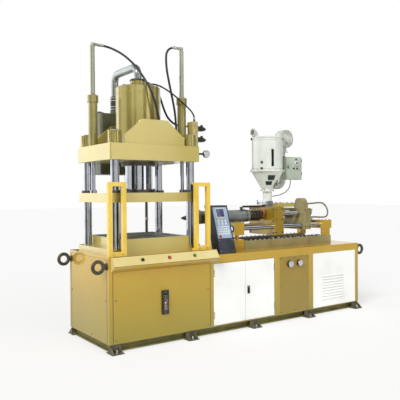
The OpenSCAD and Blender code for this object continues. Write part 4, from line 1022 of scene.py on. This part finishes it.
sleeves = [turned(bead, spot, up, 12) for spot in gridSpots(barrelLook["beads"], (0.02,), heights)]
dress("heater_beads", sleeves, "key_white", "carriage")

# Heater leads: short loops from the tray to the terminals on the front of the bands
leads = {"count": 16, "radius": 0.0035, "from": 0.405, "to": 0.675, "orange": (11, 13, 14), "drift": 0.030,
         "drop": 0.030, "out": -0.062, "sway": 0.012}
braids = {"black_rubber": [], "lead_brown": [], "lead_orange": []}
for k, x in enumerate(spread(leads["from"], leads["to"], leads["count"])):
    drift = leads["drift"] * math.sin(2.4 * k)
    drop = leads["drop"] * math.sin(1.7 * k + 0.6)
    out = leads["out"] - leads["sway"] * math.cos(2.9 * k)
    points = [(x, -0.009, 1.606), (x, -0.028, 1.604), (x + 0.2 * drift, out + 0.012, 1.580),
              (x + 0.5 * drift, out, 1.540), (x + 0.8 * drift, out + 0.004, 1.500 + 0.4 * drop),
              (x + drift, out + 0.022, 1.462 + drop), (x + 1.05 * drift, -0.024, 1.446 + drop)]
    kind = "lead_orange" if k in leads["orange"] else ("lead_brown" if k % 2 else "black_rubber")
    braids[kind].append(tube(smoothPath(points, 5), leads["radius"], 10))
for kind, surfaces in braids.items():
    dress("heater_leads_" + kind.split("_")[1], surfaces, kind, "carriage")
print("stage: barrel and dryer dressed")

# Trunking and clipped conduits along the front rail
trunk = {"left": 0.105, "right": 0.60, "low": 1.140, "high": 1.176, "front": -0.238, "back": -0.194}
front = trunk["front"]
back = trunk["back"]
low = trunk["low"]
high = trunk["high"]
ducts = [roundSlab((trunk["left"], front, low), (trunk["right"], back, high), 0.003, 0.004),
         roundSlab((trunk["left"], front - 0.001, high - 0.010), (trunk["right"], back + 0.001, high + 0.002),
                   0.002, 0.004)]
for x in spread(0.14, 0.57, 7):
    ducts.append(roundSlab((x - 0.003, front - 0.002, low), (x + 0.003, front + 0.002, high - 0.012), 0.0008,
                           0.001))
dress("rail_trunking", ducts, "black_plastic")


# Ribbed conduit: a tube whose radius rises and falls along its length
def ribbed(points, radius, pitch):
    path = smoothPath(points, 8)
    total = pathLength(path)
    gone = np.concatenate(([0.0], np.cumsum(np.linalg.norm(np.diff(path, axis=0), axis=1))))
    at = np.linspace(0, total, int(total / pitch) * 3)
    even = np.column_stack([np.interp(at, gone, path[:, k]) for k in range(3)])
    swell = radius * (1.0 - 0.10 * (0.5 + 0.5 * np.cos(2 * math.pi * at / pitch)))
    return tube(even, swell, 12)


conduits = []
for k, (y, sway, radius) in enumerate(((-0.226, 0.006, 0.010), (-0.204, 0.005, 0.009))):
    points = [(x, y + sway * math.sin(9 * x + k), place["railTop"] + radius) for x in spread(0.595, 1.66, 14)]
    conduits.append(ribbed(points, radius, 0.012))
dress("rail_conduits", conduits, "black_rubber")
clips = [roundSlab((x - 0.008, -0.243, 1.139), (x + 0.008, -0.192, 1.1625), 0.003, 0.005)
         for x in spread(0.66, 1.62, 9)]
dress("rail_clips", clips, "zinc")
print("stage: rail dressed")

# Valve and manifold trim
valves = {"x": -0.70, "y": -0.208, "heights": (2.531, 2.676), "plugs": (2.33, 2.43, 2.53, 2.63, 2.71)}
x = valves["x"]
y = valves["y"]
coil = []
plugs = []
for z in valves["heights"]:
    coil.append(roundSlab((x + 0.078, y - 0.030, z - 0.030), (x + 0.120, y + 0.030, z + 0.030), 0.004, 0.008))
    coil.append(roundSlab((x + 0.086, y - 0.014, z + 0.026), (x + 0.114, y + 0.014, z + 0.054), 0.003, 0.004))
    coil.append(turned(mm((20, 0), (22, 4), (22, 30), (16, 34), (12, 46), (1, 48)), (x + 0.119, y, z),
                       toRight, 24))
    plugs += socketHeads(gridSpots((x + 0.070,), (y - 0.024, y + 0.024), (z - 0.022, z + 0.022)), toRight,
                         0.005, 0.004)
for z in valves["plugs"]:
    plugs += hexHead((-0.743, -0.268, z), toFront, 0.024, 0.009)
plugs += socketHeads(gridSpots((x,), (-0.25, -0.166), (2.30, 2.74)), toRight, 0.009, 0.008)
dress("valve_coils", coil, "black_plastic")
dress("manifold_plugs", plugs, "zinc")

# Rubber sleeve and clamps on the pipe, flanges at its foot and at the return pipe
sleeve = {"x": -1.419, "y": 0.709, "low": 2.961, "radius": 0.0612, "ripples": 24,
          "clamps": (2.985, 3.020, 3.105, 3.140), "return": (-1.023, 0.55)}
x = sleeve["x"]
y = sleeve["y"]
r = sleeve["radius"]
count = sleeve["ripples"]
profile = [(r - 0.006, 0.0), (r + 0.001, 0.003)]
profile += [(r + 0.001 + 0.0012 * math.sin(k * 1.6), 0.2 * k / count) for k in range(1, count)]
profile += [(r + 0.001, 0.1975), (r - 0.006, 0.2005)]
dress("pipe_sleeve", [turned(profile, (x, y, sleeve["low"]), up, 40)], "black_rubber")
clamps = []
for z in sleeve["clamps"]:
    clamps.append(bandRing(0.0615, 0.0645, 0.006, 0.0005, (x, y, z), up))
    clamps.append(roundSlab((x - 0.018, y - 0.074, z - 0.007), (x + 0.018, y - 0.062, z + 0.007), 0.002,
                            0.003))
gland = ring(mm((225.3, 0), (227.5, 2), (227.5, 47), (225.3, 49)), (pressX, pressY, 2.171), up, 64)
dress("gland_ring", [gland], "dark_steel")
boss = ring(mm((50.2, 0), (104, 0), (106, 3), (106, 17), (103, 20), (50.2, 20)),
            (pressX, pressY, 3.265), up, 48)
dress("pipe_flange", [boss], "dark_steel")
clamps.append(ring(mm((19.2, 0), (36, 0), (36, 10), (19.2, 12)), (*sleeve["return"], 1.1), up, 32))
clamps.append(ring(mm((19.2, 0), (27, 0), (27, 30), (19.2, 32)), (*sleeve["return"], 1.45), up, 6))
dress("pipe_clamps", clamps, "zinc")
breather = turned(mm((16, 0), (16, 18), (30, 20), (31, 44), (27, 50), (1, 51)),
                  (-1.62, 0.78, pressBolts["lidTop"]), up, 28)
dress("tank_breather", [breather], "black_plastic")

# Weld beads at the foot of the ribs: a tube whose radius ripples
welds = {"rows": 140, "reach": 0.427, "z": 2.417, "ribs": 0.415, "half": 0.02, "radius": 0.0055,
         "ripple": 0.0008}
steps = np.arange(welds["rows"])
beads = []
for side, edge in ((-1, -1), (-1, 1), (1, -1), (1, 1)):
    xs = np.linspace(pressX - welds["reach"], pressX + welds["reach"], welds["rows"])
    y = pressY + side * welds["ribs"] + edge * welds["half"]
    path = np.column_stack((xs, np.full(welds["rows"], y), np.full(welds["rows"], welds["z"])))
    beads.append(tube(path, welds["radius"] + welds["ripple"] * np.sin(steps * 1.3), 8))
dress("rib_welds", beads, "pale_gold_paint")

# Plated tubes and unions on top of the lift cylinders, as thin skins over their solids
liftTube = {"radius": 0.0300, "low": 3.0665, "length": 0.622, "unionRadius": 0.0216, "unionLow": 3.6905,
            "stubRadius": 0.0166, "stubHeight": 3.714}
r = liftTube["radius"]
u = liftTube["unionRadius"]
s = liftTube["stubRadius"]
skins = []
unions = []
for x, y, way in ((-1.954, 0.26, toRight), (-0.884, -0.16, toLeft)):
    foot = (x, y, liftTube["low"])
    skins.append(turned([(r, 0.0), (r, liftTube["length"]), (r - 0.004, liftTube["length"] + 0.0045)], foot,
                        up, 48))
    skins.append(turned([(r + 0.008, 0.0), (r + 0.008, 0.014), (r, 0.018)], foot, up, 6))
    unions.append(turned([(u, 0.0), (u, 0.012), (u * 1.15, 0.013), (u * 1.15, 0.024), (u, 0.026), (u, 0.042),
                          (u - 0.003, 0.0438)], (x, y, liftTube["unionLow"]), up, 24))
    unions.append(turned([(s, 0.0), (s, 0.030), (s * 1.3, 0.032), (s * 1.3, 0.052), (s, 0.054), (s, 0.0782)],
                         (x, y, liftTube["stubHeight"]), way, 6))
dress("lift_tubes", skins, "dull_tube")
dress("lift_unions", unions, "zinc")

# Light curtains: lens strips and end caps; screws at the feet of the guards
curtain = {"low": 1.15, "high": 1.905, "caps": ((1.1005, 1.124), (1.930, 1.9545)),
           "bars": ((-1.9225, -1.905, -1.902), (-0.9155, -0.936, -0.933))}
strips = []
caps = []
for x, left, right in curtain["bars"]:
    strips.append(roundSlab((left, -0.478, curtain["low"]), (right, -0.453, curtain["high"]), 0.0008, 0.001))
    for z0, z1 in curtain["caps"]:
        caps.append(roundSlab((x - 0.0185, -0.4885, z0), (x + 0.0185, -0.4425, z1), 0.003, 0.004))
dress("curtain_lenses", strips, "dark_window")
dress("curtain_caps", caps, "yellow_paint")
feet = gridSpots((-2.078, -1.962, -0.876, -0.760), (-0.538,), (1.125,))
dress("guard_screws", socketHeads(feet, toFront, 0.009), "zinc")

# Dark seals in the seams of the press panels, and a dark strip under the console's top edge that is painted
# shadow
seals = {"half": 0.0035, "proud": 0.0012, "low": 0.112, "high": 1.064, "seamX": (-2.104, -0.734),
         "seamY": 0.517}
half = seals["half"]
proud = seals["proud"]
low = seals["low"]
high = seals["high"]
# Painted shadow: a dark strip where the console's top meets the guards' base
strips = [roundSlab((-2.12, -0.6005, 1.0965), (-0.66, -0.5950, 1.1020), 0.0012, 0.002)]
for x, y in [(x, y) for x in seals["seamX"] for y in (place["front"], place["back"])]:
    strips.append(roundSlab((x - half, y - proud, low), (x + half, y + proud, high), 0.0008, 0.001))
x = place["left"]
for y in (-seals["seamY"], seals["seamY"]):
    strips.append(roundSlab((x - proud, y - half, low), (x + proud, y + half, high), 0.0008, 0.001))
dress("panel_seals_and_shadow_strip", strips, "black_iron")

# Console underside in the cabinet's own paint, with a painted shadow line along its front edge
under = {"corner": (-2.125, -0.568, 0.92), "shadowLine": 0.007, "skin": 0.0012}
slope = (toRight, (0, -0.78087, 0.62470), (0, -0.62470, -0.78087))
corner = under["corner"]
skin = framedSlab(corner, slope, (0.001, 0.001, -0.0004), (1.469, 0.1268, under["skin"]), 0.0005, 0.001)
dress("console_underside", [skin], "gold_paint")
shadowLine = framedSlab(corner, slope, (0.002, 0.126 - under["shadowLine"], 0.0), (1.468, 0.126, 0.0022), 0.0008, 0.001)
dress("console_shadow_line", [shadowLine], "black_iron")

# Ground steel face on the bolster, with slots for clamp bolts drawn as dark strips: painted shade in the
# grooves
bolster = {"top": 1.2800, "halfX": 0.455, "halfY": 0.470, "slot": 0.011, "slots": (-0.28, 0.0, 0.28)}


# Thin plate on the bolster between two distances from the press's middle
def onBolster(left, right, proud, radius, corner):
    return roundSlab((pressX + left, pressY - bolster["halfY"], bolster["top"] - 0.001),
                     (pressX + right, pressY + bolster["halfY"], bolster["top"] + proud), radius, corner)


slotEdges = [(x - bolster["slot"], x + bolster["slot"]) for x in bolster["slots"]]
edges = [-bolster["halfX"], *np.ravel(slotEdges), bolster["halfX"]]
faceParts = [onBolster(left, right, 0.0015, 0.001, 0.003) for left, right in zip(edges[0::2], edges[1::2])]
dress("bolster_face", faceParts, "ground_plate")
# Painted shade: flat dark strips where the grooves of the slots are
slotShadeParts = [onBolster(left, right, 0.0004, 0.0003, 0.001) for left, right in slotEdges]
dress("bolster_slot_shade", slotShadeParts, "black_iron")

# Door furniture: hinge knuckles, the latch lever and its lock
hinges = {"radius": 0.0128, "y": -0.557, "heights": (0.20, 0.74), "pitch": 0.031,
          "doors": {"door_l": -0.667, "door_r": 0.366}}
knuckle = [(0.009, 0.0), (hinges["radius"], 0.002), (hinges["radius"], 0.027), (0.009, 0.029)]
knuckleHeights = [z + hinges["pitch"] * k for z in hinges["heights"] for k in range(3)]
for body, x in hinges["doors"].items():
    knuckles = [turned(knuckle, (x, hinges["y"], z), up, 18) for z in knuckleHeights]
    dress("hinge_knuckles_" + body, knuckles, "zinc", body)
lever = roundSlab((-0.108, -0.588, 0.480), (-0.089, -0.575, 0.548), 0.004, 0.008)
dress("latch_lever", [lever], "black_plastic", body="door_r")
latchLock = turned(mm((8.5, 0), (8.5, 4), (6, 6), (1, 6)), (-0.0985, -0.576, 0.560), toFront, 20)
dress("latch_lock", [latchLock], "zinc", "door_r")

# Lock nuts on the guide rods and the injection rods
rods = {"guideY": (-0.19, 0.29), "guideZ": 1.315, "injectionY": (-0.14, 0.24), "injectionZ": 1.50}
nuts = []
for y in rods["guideY"]:
    nuts.append(ring(mm((32.8, 0), (46, 1), (48, 4), (48, 9), (46, 11), (32.8, 11.5)),
                     (-0.0875, y, rods["guideZ"]), toRight, 8))
    nuts.append(ring(mm((32.8, 0), (46, 1), (46, 11), (32.8, 12)), (1.905, y, rods["guideZ"]),
                     toRight, 8))
dress("guide_nuts", nuts, "dark_steel")
nuts = []
for y in rods["injectionY"]:
    nuts.append(ring(mm((30.2, 0), (43, 1), (45, 4), (45, 20), (43, 23), (30.2, 24)),
                     (1.508, y, rods["injectionZ"]), toRight, 8))
    nuts.append(ring(mm((30.2, 0), (52, 0), (52, 14), (30.2, 15)), (0.8725, y, rods["injectionZ"]),
                     toRight, 32))
dress("rod_nuts", nuts, "dark_steel", body="carriage")

# Oil unions on the back of the thrust plate: a six-sided foot, a neck and a cap nut
plateUnions = {"face": 1.4448, "y": (-0.205, 0.305), "z": (1.545, 1.405)}
union = mm((26, 0), (26, 16), (18, 18), (18, 34), (23, 36), (23, 56), (16, 60), (1, 60))
unionSpots = gridSpots((plateUnions["face"],), plateUnions["y"], plateUnions["z"])
dress("plate_unions", [turned(union, spot, toRight, 6) for spot in unionSpots], "zinc",
      "injector")
print("stage: trim made")
